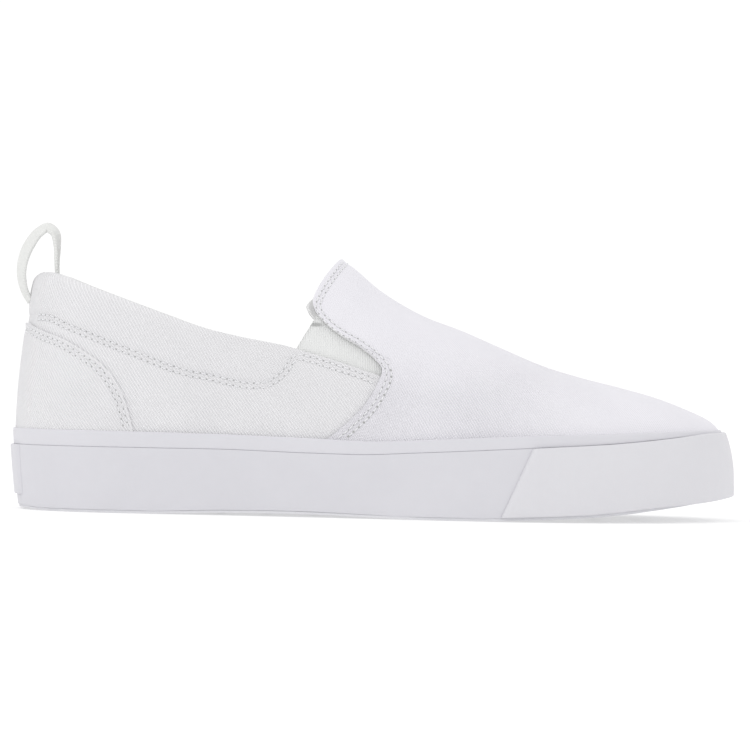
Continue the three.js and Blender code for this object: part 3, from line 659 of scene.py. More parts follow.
def dark_material(name, shade):
    """Painted shade: a flat dark colour for cloth down in a needle hole or a fold, where little light
    comes.
    """
    n = Nodes(name)
    n.colour(n.noise(400, 2), [shade] * 3, [0.7 * shade] * 3)
    n.set(Roughness=0.95, Specular_IOR_Level=0.1)
    return n.material


canvas = canvas_material("canvas", (0.82, 0.815, 0.83), (0.71, 0.705, 0.72))
vamp_canvas = canvas_material("vamp_canvas", (0.805, 0.794, 0.832), (0.705, 0.695, 0.737), 0.7)
rubber = rubber_material("foxing_rubber", (0.665, 0.66, 0.695), (0.6, 0.595, 0.63), 0.02)
strip_rubber = rubber_material("strip_rubber", (0.685, 0.68, 0.715), (0.615, 0.61, 0.645), 0.02)
bumper_rubber = rubber_material("bumper_rubber", (0.695, 0.69, 0.72), (0.635, 0.63, 0.66), 0.06)
elastic = elastic_material()
collar_lining = lining_material("collar_lining", (0.78, 0.78, 0.78), (0.68, 0.68, 0.68))
footbed = lining_material("footbed", (0.74, 0.74, 0.74), (0.62, 0.62, 0.62))
webbing = webbing_material()
thread = thread_material()
# Painted shade: dark colours for the needle holes and for the lining's fold under the vamp's edge.
painted_hole_shade = dark_material("painted_hole_shade", 0.48)
fold_shade = dark_material("fold_shade", 0.72)


# Meshes.
JOIN_DISTANCE = 0.02


def make_piece(name, vertices, faces, materials, slot, uv=None, kinds=None, replaces=(), join=False):
    """A piece on the body root, from vertices in mm and faces as lists of their numbers.

    A closed piece is turned to face outwards, and join joins the vertices where it meets itself."""
    mesh = bpy.data.meshes.new(name)
    mesh.from_pydata((np.asarray(vertices) * MM).tolist(), [], faces)
    for material in materials:
        mesh.materials.append(material)
    if uv is not None:
        layer = mesh.uv_layers.new(name="cloth")
        loops = np.empty(len(mesh.loops), np.int32)
        mesh.loops.foreach_get("vertex_index", loops)
        layer.data.foreach_set("uv", np.asarray(uv, np.float32)[loops].ravel())
    if kinds is not None:
        mesh.polygons.foreach_set("material_index", np.asarray(kinds, np.int32))
    mesh.polygons.foreach_set("use_smooth", np.ones(len(mesh.polygons), bool))
    mesh.validate()
    made = bmesh.new()
    made.from_mesh(mesh)
    if join:
        bmesh.ops.remove_doubles(made, verts=made.verts, dist=JOIN_DISTANCE * MM)
    if all(edge.is_manifold for edge in made.edges):
        bmesh.ops.recalc_face_normals(made, faces=made.faces)
    made.to_mesh(mesh)
    made.free()
    mesh.update()
    piece = bpy.data.objects.new(name, mesh)
    bpy.context.scene.collection.objects.link(piece)
    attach(piece, "root")
    if replaces:
        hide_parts(*replaces)
    return piece


def grid_faces(columns, rows, first=0, closed=False):
    """Quads of a grid of columns by rows of vertices, numbered from first."""
    i = np.arange(columns if closed else columns - 1)
    j = np.arange(rows - 1)
    a, b = np.meshgrid(i, j, indexing="ij")
    c = (a + 1) % columns
    quads = np.stack([a * rows + b, c * rows + b, c * rows + b + 1, a * rows + b + 1], axis=-1)
    return quads.reshape(-1, 4) + first


def tube_faces(columns, rows, closed=False):
    """Faces of a grid whose every column is a closed loop, with a face on each end if it isn't closed."""
    here = np.arange(columns if closed else columns - 1)
    after = (here + 1) % columns
    seam = np.stack([here * rows + rows - 1, after * rows + rows - 1, after * rows, here * rows], axis=-1)
    faces = np.concatenate([grid_faces(columns, rows, closed=closed), seam]).tolist()
    last = (columns - 1) * rows
    return faces if closed else faces + [list(range(rows))[::-1], list(range(last, last + rows))]


def border(columns, rows):
    """The numbers of a grid's edge vertices, once round."""
    top = [i * rows + rows - 1 for i in range(columns - 1, -1, -1)]
    right = [(columns - 1) * rows + j for j in range(rows - 1)]
    left = [j for j in range(rows - 2, 0, -1)]
    low = [i * rows for i in range(columns - 1)]
    return low + right + top + left


def sheet(name, u, v, outer, inner, cloth, materials, slot, replaces=(), shaded=0, meets=False):
    """A sheet of cloth on the form: grids of places and of its two faces' distances from the form.

    Of the outer face, the first rows, as many as shaded says, have the third material, a painted shade.
    Where the sheet meets itself along its first row, it has no edge there."""
    columns, rows = u.shape
    normals = form_normal(u, v)
    base = form(u, v)
    faces_out = base + normals * outer[..., None]
    faces_in = base + normals * inner[..., None]
    count = columns * rows
    vertices = np.concatenate([faces_out.reshape(-1, 3), faces_in.reshape(-1, 3)])
    front = grid_faces(columns, rows)
    back = grid_faces(columns, rows, count)[:, ::-1]
    ring = border(columns, rows)
    rim = [(a + count, b + count, b, a) for a, b in zip(ring, ring[1:] + ring[:1])
           if not (meets and a % rows == 0 and b % rows == 0)]
    faces = np.concatenate([front, back, rim])
    front_kinds = np.tile(np.where(np.arange(rows - 1) < shaded, 2, 0), columns - 1)
    kinds = np.concatenate([front_kinds, np.ones(len(back)), np.zeros(len(rim))])
    if len(materials) == 1:
        kinds[:] = 0
    flat = cloth.reshape(-1, 2)
    uv = np.concatenate([flat, flat])
    return make_piece(name, vertices, faces.tolist(), materials, slot, uv, kinds, replaces, join=True)


ROLL_STEPS = 5


def rolled(reach, roll, count):
    """Shares along lines of a length reach, whose ends turn over an edge of radius roll."""
    roll_share = (roll / reach)[:, None]
    body = np.linspace(0, 1, count)[None, :] * (1 - roll_share)
    angles = np.linspace(0, math.pi / 2, ROLL_STEPS + 1)[1:]
    turned = 1 - roll_share * (1 - np.sin(angles))[None, :]
    return np.concatenate([body, turned], axis=1)


def faces_of(outer, inner, count):
    """Offsets of both faces of a sheet, which meet in a round edge at the end of each line."""
    middle = (outer + inner) / 2
    angles = np.linspace(0, math.pi / 2, ROLL_STEPS + 1)[1:]
    keep = np.concatenate([np.ones(count), np.cos(angles)])[None, :]
    return mix(middle, outer, keep), mix(middle, inner, keep)


plan_turns = np.linspace(0, 1, 400)
plan_lengths = run_lengths(np.stack(plan_point(1 - plan_turns), axis=-1))
VAMP_STRETCH = {"along": 1.05, "down": 1.06}


def wall_cloth(u, v):
    """Cloth that runs around the shoe: how far along the foot line and how high."""
    along = np.interp(np.abs(u), plan_turns, plan_lengths)
    along = np.where(u < 0, 2 * plan_lengths[-1] - along, along)
    high = np.linalg.norm(form(u, v) - form(u, 0), axis=-1)
    return np.stack([-along, high], axis=-1)


def vamp_cloth(u, v):
    """Cloth that lies over the ridge: laid out from the crown of each rib."""
    crown = form(u, 1)
    foot = form(u, 0)
    out = unit((foot - crown) * np.array([1, 1, 0]))
    down = VAMP_STRETCH["down"] * np.linalg.norm(form(u, v) - crown, axis=-1)
    along = VAMP_STRETCH["along"] * crown[..., 0]
    return np.stack([along + down * out[..., 0], down * out[..., 1]], axis=-1)


def side_view(points):
    return points[..., [0, 2]]


# The padding inside the collar: full at the heel, less along the sides, none at the gores and below.
SIDE_PAD = 0.75
PAD_HEEL = {"none": 0.12, "full": 0.02}
PAD_ALONG = {"none": 0.385, "full": 0.225}
PAD_BELOW = {"none": 1.5, "full": 0.7}


def padding(points):
    at = share(points[..., 0])
    below = (mouth_height(points[..., 0]) - points[..., 2]) / COLLAR_BAND
    heel = mix(SIDE_PAD, 1, ramp(**PAD_HEEL, x=at))
    return COLLAR_PAD * heel * ramp(**PAD_ALONG, x=at) * ramp(**PAD_BELOW, x=below)


vamp_line = drawn(VAMP_EDGE, 150)
counter_line = drawn(COUNTER_EDGE, 150)
collar_line = drawn(COLLAR_SEAM, 160)
COLLAR_ROWS = (0.0, -1.9)
COUNTER_ROWS = (-1.5, -3.3)
# Distances of the vamp's rows from its edge: over the notch, and from there down to the sole.
VAMP_ROWS = ((1.3, 1.9), (2.9, 3.8))
NOTCH_HEIGHT = 55
ROW_TURN = 3
PUFF = 1.1
PUFF_FADE = {"none": 0.4, "full": 0.32}
SEAM_DIP = 0.35
SEAM_WIDTH = 0.9
EDGE_DIP = 0.5
VAMP_LIP = {"height": 0.25, "at": 0.7, "width": 0.8}
COUNTER_LIP = {"height": 0.35, "at": 0.9, "width": 0.9}


def vamp_row(row):
    over, under = row
    turned = ramp(NOTCH_HEIGHT + ROW_TURN, NOTCH_HEIGHT - ROW_TURN, vamp_line[:, 1])
    return shifted(vamp_line, mix(over, under, turned))


def on_seam(points, line):
    """1 on a line of the side view, and falling to 0 beside it."""
    return bell(distance_to(side_view(points), line) / SEAM_WIDTH)


def lip(points, line, height, at, width):
    """A low ridge that runs beside a line."""
    return height * bell((distance_to(side_view(points), line) - at) / width)


def seam_dip(points, lines):
    """How far a surface is drawn in along its seams."""
    return -SEAM_DIP * np.max([on_seam(points, line) for line in lines], axis=0)


MOUTH_LEAST = 0.25


def mouth_v(u):
    """Where ribs meet the mouth's line."""
    def over_mouth(v):
        x, _, z = np.moveaxis(form(u, v), -1, 0)
        return z > mouth_height(x)

    return crossing(np.full(u.shape, MOUTH_LEAST), np.ones(u.shape), over_mouth)


def quarter_surface(points):
    """How far the quarter's outer face stands off the form: puffed over the seam, drawn in at it."""
    x = points[..., 0]
    seam = np.interp(x, collar_line[:, 0], collar_line[:, 1])
    rise = np.clip((points[..., 2] - seam) / np.maximum(mouth_height(x) - seam, 3), 0, 1)
    puff = PUFF * ramp(**PUFF_FADE, x=share(x)) * np.sin(np.pi * rise) ** 0.6
    dips = seam_dip(points, [shifted(collar_line, row) for row in COLLAR_ROWS])
    return puff + dips - EDGE_DIP * on_seam(points, vamp_line)


def counter_surface(points):
    dips = seam_dip(points, [shifted(counter_line, row) for row in COUNTER_ROWS])
    return COUNTER_THICKNESS + lip(points, counter_line, **COUNTER_LIP) + dips


def vamp_surface(points):
    dips = seam_dip(points, [vamp_row(row) for row in VAMP_ROWS])
    return VAMP_STEP + lip(points, vamp_line, **VAMP_LIP) + dips


def around(half, sign):
    """Values of one side, and then, by sign, of the other, back from the last one, which they share."""
    return np.concatenate([half, sign * half[-2::-1]])


def both_hands(half):
    """The grids of a piece on both sides, joined where they meet."""
    (u_one, v_one), (u_two, v_two) = half(1), half(-1)
    return np.concatenate([u_one, u_two[-2::-1]]), np.concatenate([v_one, v_two[-2::-1]])


QUARTER_FRONT = 0.468


def quarter():
    """The back part of the upper with its padded collar, from under the vamp round the heel."""
    u = around(mix(QUARTER_FRONT, 1, np.linspace(0, 1, 130) ** 0.9), -1)
    top = mouth_v(u)
    thick = WALL + padding(form(u, top))
    reach = np.linalg.norm(form(u, top) - form(u, 0), axis=-1)
    count = 76
    v = top[:, None] * rolled(reach, thick / 2, count)
    u = np.broadcast_to(u[:, None], v.shape)
    points = form(u, v)
    outer = quarter_surface(points)
    inner = -WALL - padding(points)
    outer, inner = faces_of(outer, inner, count)
    cloth = wall_cloth(u, v)
    return sheet("quarter", u, v, outer, inner, cloth, [canvas, collar_lining], "canvas")


FOOT_ROWS = 12
FOOT_LEAST = 0.02
PACE_STEP = 0.01


def vamp_edge(hand):
    """The rear edge of the front part in the form's own measures, from the foot to the crown.

    The third row says how many mm the form runs there for each unit of u."""
    u, v = locate(vamp_line[::-1, 0], vamp_line[::-1, 1], hand)
    keep = v > FOOT_LEAST
    u, v = u[keep], v[keep]
    order = np.argsort(v)
    u, v = u[order], v[order]
    v = v / v[-1]
    low = np.linspace(0, v[0], FOOT_ROWS, endpoint=False)
    u = np.concatenate([np.full(FOOT_ROWS, u[0]), u])
    v = np.concatenate([low, v])
    moved = form(hand * (u - PACE_STEP), v) - form(hand * u, v)
    return u, v, np.linalg.norm(moved, axis=-1) / PACE_STEP


def front_part(name, offsets, set_back, materials):
    """The front of the upper, both sides joined over the ridge and the toe.

    Its lines run from the toe to the rear edge, at the heights of that edge's points."""
    count = 110
    outer_at, inner_at = offsets
    roll = (outer_at - inner_at) / 2

    def half(hand):
        u_edge, v_edge, pace = vamp_edge(hand)
        u_edge = u_edge - set_back / np.maximum(pace, 1)
        reach = np.linalg.norm(form(hand * u_edge, v_edge) - form(0, v_edge), axis=-1)
        shares = rolled(np.maximum(pace * u_edge, reach), np.full(reach.shape, roll), count)
        return hand * u_edge[:, None] * shares, np.broadcast_to(v_edge[:, None], shares.shape)

    u, v = both_hands(half)
    outer = vamp_surface(form(u, v)) if outer_at > 0 else np.full(u.shape, outer_at)
    outer, inner = faces_of(outer, np.full(u.shape, inner_at), count)
    return sheet(name, u, v, outer, inner, vamp_cloth(u, v), materials, "canvas", meets=True)


COUNTER_LOW = 0.06
COUNTER_CLEAR = 0.08


def counter():
    """The second layer around the heel, with a raised folded edge."""
    count = 46
    u_line, v_line = locate(counter_line[:, 0], counter_line[:, 1], 1)
    u_line[0] = 1
    order = np.argsort(u_line)
    u = around(u_line[order], -1)
    top = around(v_line[order], 1)
    foot_u = np.sign(u) * (1 - (1 - np.abs(u)) * 0.99)
    low = np.full(u.shape, COUNTER_LOW)
    reach = np.linalg.norm(form(u, top) - form(foot_u, low), axis=-1) + 0.5
    shares = rolled(reach, np.full(u.shape, COUNTER_THICKNESS / 2), count)
    v = mix(low[:, None], top[:, None], shares)
    across = mix(foot_u[:, None], u[:, None], shares)
    outer, inner = faces_of(counter_surface(form(across, v)), np.full(v.shape, COUNTER_CLEAR), count)
    cloth = wall_cloth(across, v)
    return sheet("counter", across, v, outer, inner, cloth, [canvas], "canvas", ("heel_counter",))


# The elastic reaches under the quarter's top edge and under the vamp. Its free edge is thinner and raised.
GORE_FRONT = 0.525
GORE_UNDER = 5
GORE_HEIGHTS = (53, 78)
GORE_EDGE = {"width": 1.2, "rise": 0.25, "thin": 0.6}


def gore(name, node, hand):
    """The elastic panel in the notch, between the quarter's top edge and the vamp."""
    count = 40
    t = np.linspace(0, 1, count)
    start = in_side_view(GORE_FREE_EDGE)
    low_x = mix(start[0][0], station(GORE_FRONT), t)
    low_z = mouth_height(low_x) - GORE_UNDER
    low_z[0] = start[0][1]
    under_vamp = shifted(vamp_line, GORE_UNDER)
    least, most = GORE_HEIGHTS
    part = under_vamp[(under_vamp[:, 1] > least) & (under_vamp[:, 1] < most)]
    high_x, high_z = [np.interp(t, np.linspace(0, 1, len(part)), part[:, i]) for i in (0, 1)]
    high_x[0], high_z[0] = start[1]
    x = mix(low_x[:, None], high_x[:, None], t[None, :])
    z = mix(low_z[:, None], high_z[:, None], t[None, :])
    u, v = locate(x.ravel(), z.ravel(), hand)
    u = hand * u.reshape(x.shape)
    v = v.reshape(x.shape)
    edge = bell(t[:, None] * count / GORE_EDGE["width"])
    outer = np.full(x.shape, -WALL - GAP) + GORE_EDGE["rise"] * edge
    inner = outer - GORE_THICKNESS * mix(1, GORE_EDGE["thin"], edge)
    cloth = np.stack([x, z], axis=-1)
    return sheet(name, u, v, outer, inner, cloth, [elastic], "elastic", (node,))


# The lining ends a little past the vamp's edge at the tip, and further past it below.
LINING_LOW = 68
LINING_REACH = 40
LINING_PAST = {"tip": 0.4, "below": 2.6}
LINING_TURN = {"none": 85, "full": 80}


def tongue_lining():
    """The lining under the vamp's tip, which shows as a thin line past the vamp's edge. Its outer face is
    painted shade up to a narrow rim at its end.
    """
    count = 80

    def half(hand):
        u_edge, v_edge, pace = vamp_edge(hand)
        height = form(hand * u_edge, v_edge)[:, 2]
        keep = height > LINING_LOW
        u_edge, v_edge, pace, height = u_edge[keep], v_edge[keep], np.maximum(pace[keep], 1), height[keep]
        past = mix(LINING_PAST["tip"], LINING_PAST["below"], ramp(**LINING_TURN, x=height))
        u_end = u_edge + past / pace
        reach = np.full(u_end.shape, LINING_REACH)
        shares = rolled(reach, np.full(reach.shape, LINING_THICKNESS / 2), count)
        u = mix((u_end - reach / pace)[:, None], u_end[:, None], shares)
        return hand * u, np.broadcast_to(v_edge[:, None], u.shape)

    u, v = both_hands(half)
    outer = np.full(u.shape, -WALL - 2 * GAP)
    outer, inner = faces_of(outer, outer - LINING_THICKNESS, count)
    # The outer face gets painted shade in all but its last rows, which leave a narrow light rim at the
    # lining's end.
    return sheet("vamp_lining", u, v, outer, inner, vamp_cloth(u, v),
                 [collar_lining, collar_lining, fold_shade], "lining", ("tongue_lining",), shaded=count - 2)


# Sole pieces: bands around the outline.
def wall_inset(turn, z):
    x, _ = plan_point(turn)
    at = share(x)
    bottom = bottom_height(x)
    h = np.clip((z - bottom) / (top_height(x) - bottom), 0, 1)
    return side["tuck"](at) * (1 - h) ** 1.3 + side["lean"](at) * h ** 2.5


def band_point(turn, inset, z):
    x, y = plan_at(turn, inset + wall_inset(turn, z))
    return np.stack([x, y, z], axis=-1)


def rounded_section(thick, low, high, radius, steps=4, rows=8):
    """A band's section as insets and heights, once round, with round corners on the outer face."""
    angles = np.linspace(0, math.pi / 2, steps + 1)
    section = []
    for i in range(rows + 1):
        section.append((0 * low, mix(low + radius, high - radius, i / rows)))
    for angle in angles[1:]:
        section.append((radius * (1 - math.cos(angle)) + 0 * low, high - radius * (1 - math.sin(angle))))
    section.append((thick, high))
    section.append((thick, low))
    for angle in angles[::-1][:-1]:
        section.append((radius * (1 - math.cos(angle)) + 0 * low, low + radius * (1 - math.sin(angle))))
    return section


TURNS = 360
JOINT = 0.02
SOLE_JOINT = 0.06


def turns_round(count):
    """Turns at even steps, once round the shoe from the toe."""
    return 1 - 2 * np.arange(count) / count


def closed_band(name, section_at, material, node):
    """A band all the way round the shoe."""
    turns = turns_round(TURNS)
    section = section_at(turns)
    points = np.stack([band_point(turns, inset, z) for inset, z in section], axis=1)
    faces = tube_faces(TURNS, len(section), closed=True)
    return make_piece(name, points.reshape(-1, 3), faces, [material], "rubber", replaces=(node,))


def open_band(name, section_at, turn_of_end, columns, taper, fall, material, node):
    """A band over part of the outline. Its ends follow a line.

    They slope in by fall, over a share, taper, of the band."""
    t = np.linspace(-1, 1, columns)
    soft = fall * (1 - np.minimum((1 - np.abs(t)) / taper, 1)) ** 2
    section = section_at(t)
    points = np.stack([band_point(turn_of_end(t, z), inset + soft, z) for inset, z in section], axis=1)
    faces = tube_faces(columns, len(section))
    return make_piece(name, points.reshape(-1, 3), faces, [material], "rubber", replaces=(node,))


def turn_at(x):
    """The turn at which the outline passes a station, without its sign."""
    return np.arccos(np.clip(1 - 2 * (x + HEEL_SPOT - TAPE_BACK) / TAPE_LENGTH, -1, 1)) / math.pi


def tape_low(x):
    return bottom_height(x) + EDGE_LIP + SOLE_JOINT


TAPE_CORNER = 0.22
STRIP_CORNER = 0.25
STRIP_UNDER = 0.35
STRIP_LEAST = 0.8


def tape_section(turns):
    x, _ = plan_point(turns)
    return rounded_section(TAPE_THICKNESS, tape_low(x), groove_height(x) - JOINT, TAPE_CORNER)


def upper_inset(turns, z):
    """How far inside the outline the upper stands at a height."""
    u = np.where(turns < 0, -1, 1) * (1 - np.abs(turns))
    v = crossing(np.zeros(turns.shape), np.full(turns.shape, 0.6), lambda v: form(u, v)[..., 2] > z)
    p = form(u, v)
    ox, oy = plan_at(turns, 0)
    ix, iy = plan_at(turns, 1)
    return (p[..., 0] - ox) * (ix - ox) + (p[..., 1] - oy) * (iy - oy)


def strip_section(turns):
    x, _ = plan_point(turns)
    low = groove_height(x) + JOINT
    high = top_height(x)
    thick = np.maximum(upper_inset(turns, high) - wall_inset(turns, high) + STRIP_UNDER, STRIP_LEAST)
    section = rounded_section(thick, low, high, STRIP_CORNER, rows=4)
    return [(inset + STRIP_RECESS, z) for inset, z in section]


# The bumper covers the strip's low corner, and at the toe the sole's lip.
BUMPER_COVER = 0.35
BUMPER_UNDER = 0.1
BUMPER_CORNER = 0.6
BUMPER_MIDDLE = 14
BUMPER_LIP = {"from": 0.86, "below": 0.5}


def bumper_section(t):
    x, _ = plan_point(bumper_turn(t, BUMPER_MIDDLE))
    over_lip = ramp(BUMPER_LIP["from"], 1, share(x))
    low = mix(tape_low(x) - SOLE_JOINT, bottom_height(x) - BUMPER_LIP["below"], over_lip)
    thick = BUMPER_PROUD + STRIP_RECESS + BUMPER_UNDER
    section = rounded_section(thick, low, groove_height(x) + BUMPER_COVER, BUMPER_CORNER)
    return [(inset - BUMPER_PROUD, z) for inset, z in section]


def bumper_turn(t, z):
    """From the outer end over the toe to the inner end, where both ends slant."""
    run = (BUMPER_END["top"] - BUMPER_END["bottom"]) / (BUMPER_END["high"] - BUMPER_END["low"])
    end = station(BUMPER_END["bottom"] + run * z / COLLAR_HEEL_HEIGHT)
    turn_end = turn_at(end)
    turn = turn_end + (1 - turn_end) * (1 - np.abs(t))
    return np.where(t < 0, turn, -turn)


PATCH_CORNER = 0.45


def patch_turn(t, _):
    return -turn_at(PATCH_FRONT - HEEL_SPOT) * t


def patch_section(t):
    x, _ = plan_point(patch_turn(t, 0))
    low = np.full(x.shape, PATCH_LOW)
    section = rounded_section(PATCH_PROUD, low, groove_height(x) - GAP / 2, PATCH_CORNER)
    return [(inset - PATCH_PROUD, z) for inset, z in section]


def sole():
    closed_band("tape", tape_section, rubber, "foxing_tape")
    closed_band("top_strip", strip_section, strip_rubber, "foxing_strip")
    open_band("bumper", bumper_section, bumper_turn, 241, 0.02, 0.8, bumper_rubber, "toe_bumper")
    open_band("back_patch", patch_section, patch_turn, 121, 0.14, 0.97, rubber, "heel_patch")
    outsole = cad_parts["outsole"]
    outsole.data.materials.clear()
    outsole.data.materials.append(tread_material())


FOOTBED_COLUMNS = 200
FOOTBED_RINGS = (0, 0.02, 0.05, 0.1, 0.18, 0.3, 0.45, 0.6, 0.75, 0.88)
FOOTBED_MIDDLE = 100
FOOTBED_INSET = TAPE_THICKNESS + WALL + 8 * GAP
FOOTBED_SOFT = {"edge": 0.25, "over": 0.05}
HEEL_CUP = 1.6


def footbed_piece():
    """The insole: a cloth-covered foam sheet with a soft edge, cupped at the heel."""
    turns = turns_round(FOOTBED_COLUMNS)
    around_x, _ = plan_point(turns)
    edge_x, edge_y = plan_at(turns, FOOTBED_INSET + wall_inset(turns, bed_height(around_x)))
    lines = [np.stack([edge_x, edge_y, bed_height(edge_x) + GAP], axis=-1)]
    for ring in FOOTBED_RINGS:
        x = mix(edge_x, FOOTBED_MIDDLE, 0.35 * ring)
        y = mix(edge_y, edge_y.mean(), ring)
        fall = FOOTBED_SOFT["edge"] * (1 - min(ring / FOOTBED_SOFT["over"], 1)) ** 2
        cup = HEEL_CUP * ramp(0.3, 0.1, share(x)) * (1 - ring) ** 2
        lines.append(np.stack([x, y, bed_height(x) + GAP + INSOLE_THICKNESS * (1 - fall) + cup], axis=-1))
    rows = len(lines)
    flat = np.stack(lines, axis=1).reshape(-1, 3)
    faces = grid_faces(FOOTBED_COLUMNS, rows, closed=True).tolist()
    for i in range(FOOTBED_COLUMNS // 2):
        corners = [i, i + 1, FOOTBED_COLUMNS - i - 1, (FOOTBED_COLUMNS - i) % FOOTBED_COLUMNS]
        corners = list(dict.fromkeys(corners))
        faces.append([k * rows + rows - 1 for k in corners])
        faces.append([k * rows for k in corners][::-1])
    piece = make_piece("footbed", flat, faces, [footbed], "foam", uv=flat[:, :2], replaces=("insole",))
    return piece


LOOP_EDGE = 0.6
LOOP_FULLNESS = 0.7


def pull_loop():
    """Webbing bent into a loop over the back of the collar, turned a little about its path."""
    steps = 110
    line = drawn(LOOP_PATH, steps)
    at = np.linspace(0, run_lengths(in_side_view(LOOP_PATH))[-1], steps)
    p = np.stack([line[:, 0], 0 * at, line[:, 1]], axis=-1)
    t = unit(np.gradient(p, axis=0))
    turned = curve(LOOP_TWIST, "turn")(np.linspace(0, 1, steps))[:, None]
    flat = np.stack([-t[:, 2], 0 * at, t[:, 0]], axis=-1)
    across = np.array([0, 1, 0]) * np.cos(turned) + flat * np.sin(turned)
    thick = np.cross(t, across)
    straight = LOOP_WIDTH / 2 - LOOP_EDGE
    half_t = LOOP_FULLNESS * LOOP_THICKNESS / 2
    section = []
    for sign in (1, -1):
        for w in np.linspace(-straight, straight, 9):
            section.append((sign * w, sign * half_t))
        for angle in np.linspace(math.pi / 2, -math.pi / 2, 7)[1:-1]:
            w = straight + LOOP_EDGE * math.cos(angle)
            section.append((sign * w, sign * half_t * math.sin(angle)))
    grid = np.stack([p + across * w + thick * h for w, h in section], axis=1)
    cloth = np.stack([np.stack([at, 0 * at + w], axis=-1) for w, _ in section], axis=1)
    faces = tube_faces(steps, len(section))
    return make_piece("heel_loop", grid.reshape(-1, 3), faces, [webbing], "webbing", cloth.reshape(-1, 2),
                      replaces=("pull_loop",))


# Stitches.
STITCH_PITCH = 2.6
STITCH_LENGTH = 2.0
STITCH_RADIUS = 0.3
# The needle holes are painted shade: dark disks of these radii, lifted this far off the cloth.
HOLE_SHADE_RADIUS = 0.31
BOLD_HOLE_SHADE_RADIUS = 0.48
HOLE_SHADE_LIFT = 0.06
STITCH_RISE = 0.3
STITCH_DIVE = 0.45
STITCH_TAPER = 0.35
STITCH_FLATNESS = 0.8
REACH = 4
ROW_MISS = 0.4


def skin(piece):
    """A search tree of a piece's faces, in metres."""
    mesh = piece.data
    return BVHTree.FromPolygons([vertex.co for vertex in mesh.vertices],
                                [tuple(face.vertices) for face in mesh.polygons])


def laid(tree, point, normal):
    """A point of the form moved along its normal onto a piece's outer face, in mm, or None beside it."""
    start = Vector((point + normal * REACH) * MM)
    hit, facing, _, _ = tree.ray_cast(start, Vector(-normal), 2 * REACH * MM)
    if hit is None:
        return None
    return np.array(hit) / MM, np.array(facing)


def stitch_row(line, hand, tree):
    """The stitches along a line of the side view, and the needle holes between them, where shade is
    painted: place, direction, normal.
    """
    u, v = locate(line[:, 0], line[:, 1], hand)
    points = form(hand * u, v)
    met = np.linalg.norm(side_view(points) - line, axis=1) < ROW_MISS
    points, u, v = points[met], u[met], v[met]
    normals = form_normal(hand * u, v)
    lengths = run_lengths(points)

    def read(values, at):
        return np.array([np.interp(at, lengths, values[:, i]) for i in range(3)])

    marks = ([], [])
    for step in range(1, int(2 * lengths[-1] / STITCH_PITCH)):
        at = step * STITCH_PITCH / 2
        found = laid(tree, read(points, at), unit(read(normals, at)))
        if found:
            along = unit(read(points, at + 0.5) - read(points, at - 0.5))
            marks[step % 2].append((found[0], along, found[1]))
    return marks


def stitch_mesh(stitches):
    """All stitches as short bowed capsules whose ends dive into the cloth."""
    rings = 5
    corners = 6
    vertices = []
    faces = []
    for centre, along, normal in stitches:
        beside = np.cross(along, normal)
        first = len(vertices)
        for i in range(rings):
            t = -1 + 2 * i / (rings - 1)
            lift = STITCH_RISE - STITCH_DIVE * t * t
            radius = STITCH_RADIUS * (1 - STITCH_TAPER * t * t)
            middle = centre + along * t * STITCH_LENGTH / 2 + normal * lift
            for k in range(corners):
                angle = 2 * math.pi * k / corners
                up = STITCH_FLATNESS * math.sin(angle)
                vertices.append(middle + radius * (math.cos(angle) * beside + up * normal))
        for i in range(rings - 1):
            for k in range(corners):
                m = (k + 1) % corners
                low = first + i * corners
                faces.append([low + k, low + m, low + corners + m, low + corners + k])
        faces.append([first + k for k in range(corners)][::-1])
        faces.append([first + (rings - 1) * corners + k for k in range(corners)])
    return vertices, faces


def hole_shade_mesh(holes):
    """Painted shade of the needle holes between the stitches, as small flat dark disks in the cloth."""
    corners = 8
    vertices = []
    faces = []
    for centre, along, normal, radius in holes:
        beside = np.cross(normal, along)
        middle = centre + normal * HOLE_SHADE_LIFT
        first = len(vertices)
        for k in range(corners):
            angle = 2 * math.pi * k / corners
            vertices.append(middle + radius * (math.cos(angle) * along + math.sin(angle) * beside))
        faces.append([first + k for k in range(corners)])
    return vertices, faces


def over_sole(line):
    return line[line[:, 1] > top_height(line[:, 0])]


def bold(hole, row):
    """Whether a hole's disk of painted shade is one of the wide ones, in the vamp's far row below the
    notch.
    """
    return row == VAMP_ROWS[1] and hole[0][2] < NOTCH_HEIGHT + 2


def stitches(quarter_piece, counter_piece, vamp_piece):
    """Every row on its piece, both sides, and the painted shade of the needle holes of them all."""
    holes = []
    for name, piece, rows, line_of in (
            ("collar_stitches", quarter_piece, COLLAR_ROWS, lambda row: shifted(collar_line, row)),
            ("counter_stitches", counter_piece, COUNTER_ROWS, lambda row: shifted(counter_line, row)),
            ("vamp_stitches", vamp_piece, VAMP_ROWS, vamp_row)):
        tree = skin(piece)
        sewn = []
        for hand in (1, -1):
            for row in rows:
                between, through = stitch_row(over_sole(line_of(row)), hand, tree)
                sewn += through
                for hole in between:
                    holes.append((*hole, BOLD_HOLE_SHADE_RADIUS if bold(hole, row) else HOLE_SHADE_RADIUS))
        make_piece(name, *stitch_mesh(sewn), [thread], "canvas")
    # The needle holes' painted shade, as one piece of dark disks.
    make_piece("painted_hole_shades", *hole_shade_mesh(holes), [painted_hole_shade], "canvas")


def upper():
    """The canvas pieces, with the stitches that hold them."""
    quarter_piece = quarter()
    base = front_part("front_base", (0, -WALL), 0.5, [canvas, collar_lining])
    vamp_piece = front_part("vamp", (VAMP_STEP, 0.06), 0, [vamp_canvas])
    for piece in (quarter_piece, base, vamp_piece):
        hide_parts("upper")
    stitches(quarter_piece, counter(), vamp_piece)


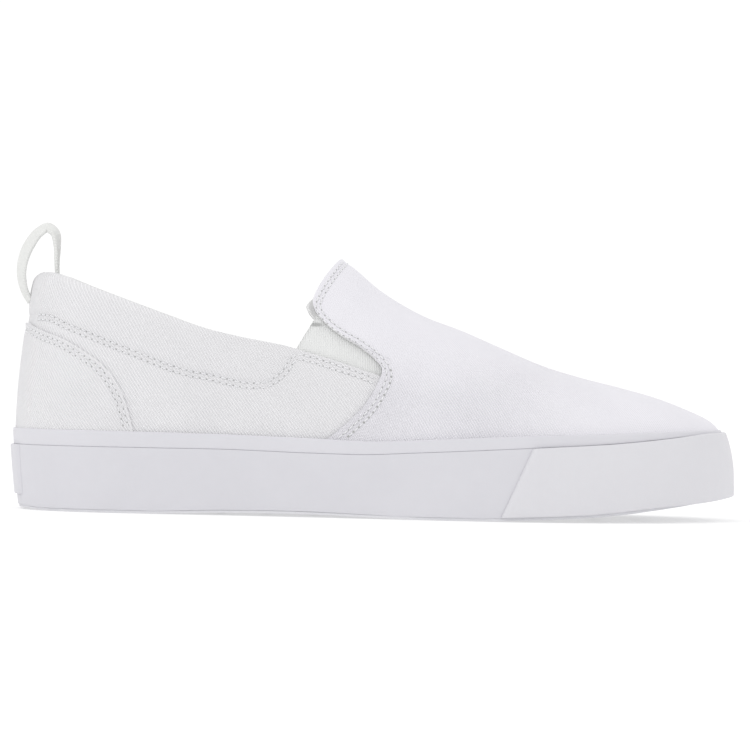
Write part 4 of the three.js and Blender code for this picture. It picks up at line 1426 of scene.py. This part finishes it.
# Setting.
def area_light(name, at, size, power, towards):
    data = bpy.data.lights.new(name, "AREA")
    data.shape = "RECTANGLE"
    data.size, data.size_y = size
    data.energy = power
    light = bpy.data.objects.new(name, data)
    light.location = at
    light.rotation_euler = (Vector(towards) - Vector(at)).to_track_quat("-Z", "Y").to_euler()
    bpy.context.scene.collection.objects.link(light)


FLOOR_REACH = 6
FLOOR_BELOW = 0.0002


def floor_plane():
    """A pale paper floor, lit a little from below."""
    mesh = bpy.data.meshes.new("floor")
    corners = [(x * FLOOR_REACH, y * FLOOR_REACH, 0) for x, y in ((-1, -1), (1, -1), (1, 1), (-1, 1))]
    mesh.from_pydata(corners, [], [(0, 1, 2, 3)])
    n = Nodes("floor_paper")
    n.colour(n.noise(3, 2), (0.61, 0.61, 0.61), (0.6, 0.6, 0.6))
    n.set(Roughness=0.9, Specular_IOR_Level=0.1, Emission_Color=(1, 1, 1, 1), Emission_Strength=0.43)
    mesh.materials.append(n.material)
    floor = bpy.data.objects.new("floor", mesh)
    floor.location.z = -FLOOR_BELOW
    bpy.context.scene.collection.objects.link(floor)


def setting():
    """Floor, light and camera."""
    floor_plane()
    world = bpy.data.worlds.new("studio")
    world.use_nodes = True
    background = world.node_tree.nodes["Background"]
    background.inputs["Color"].default_value = (1, 1, 1, 1)
    background.inputs["Strength"].default_value = 1.04
    bpy.context.scene.world = world
    area_light("key", (-0.5, -0.7, 1.1), (0.5, 0.5), 2.2, (0.1, 0, 0.05))

    camera_data = bpy.data.cameras.new("camera")
    camera_data.sensor_width = SENSOR
    camera_data.lens = SENSOR * -CAMERA_AT[1] / FIELD_WIDTH
    camera = bpy.data.objects.new("camera", camera_data)
    camera.location = [value * MM for value in CAMERA_AT]
    camera.rotation_euler = (math.pi / 2, CAMERA_ROLL, 0)
    bpy.context.scene.collection.objects.link(camera)
    bpy.context.scene.camera = camera
    bpy.context.scene.view_settings.view_transform = "Standard"


setting()
upper()
gore("gore_outer", "gore_lateral", 1)
gore("gore_inner", "gore_medial", -1)
tongue_lining()
sole()
footbed_piece()
pull_loop()
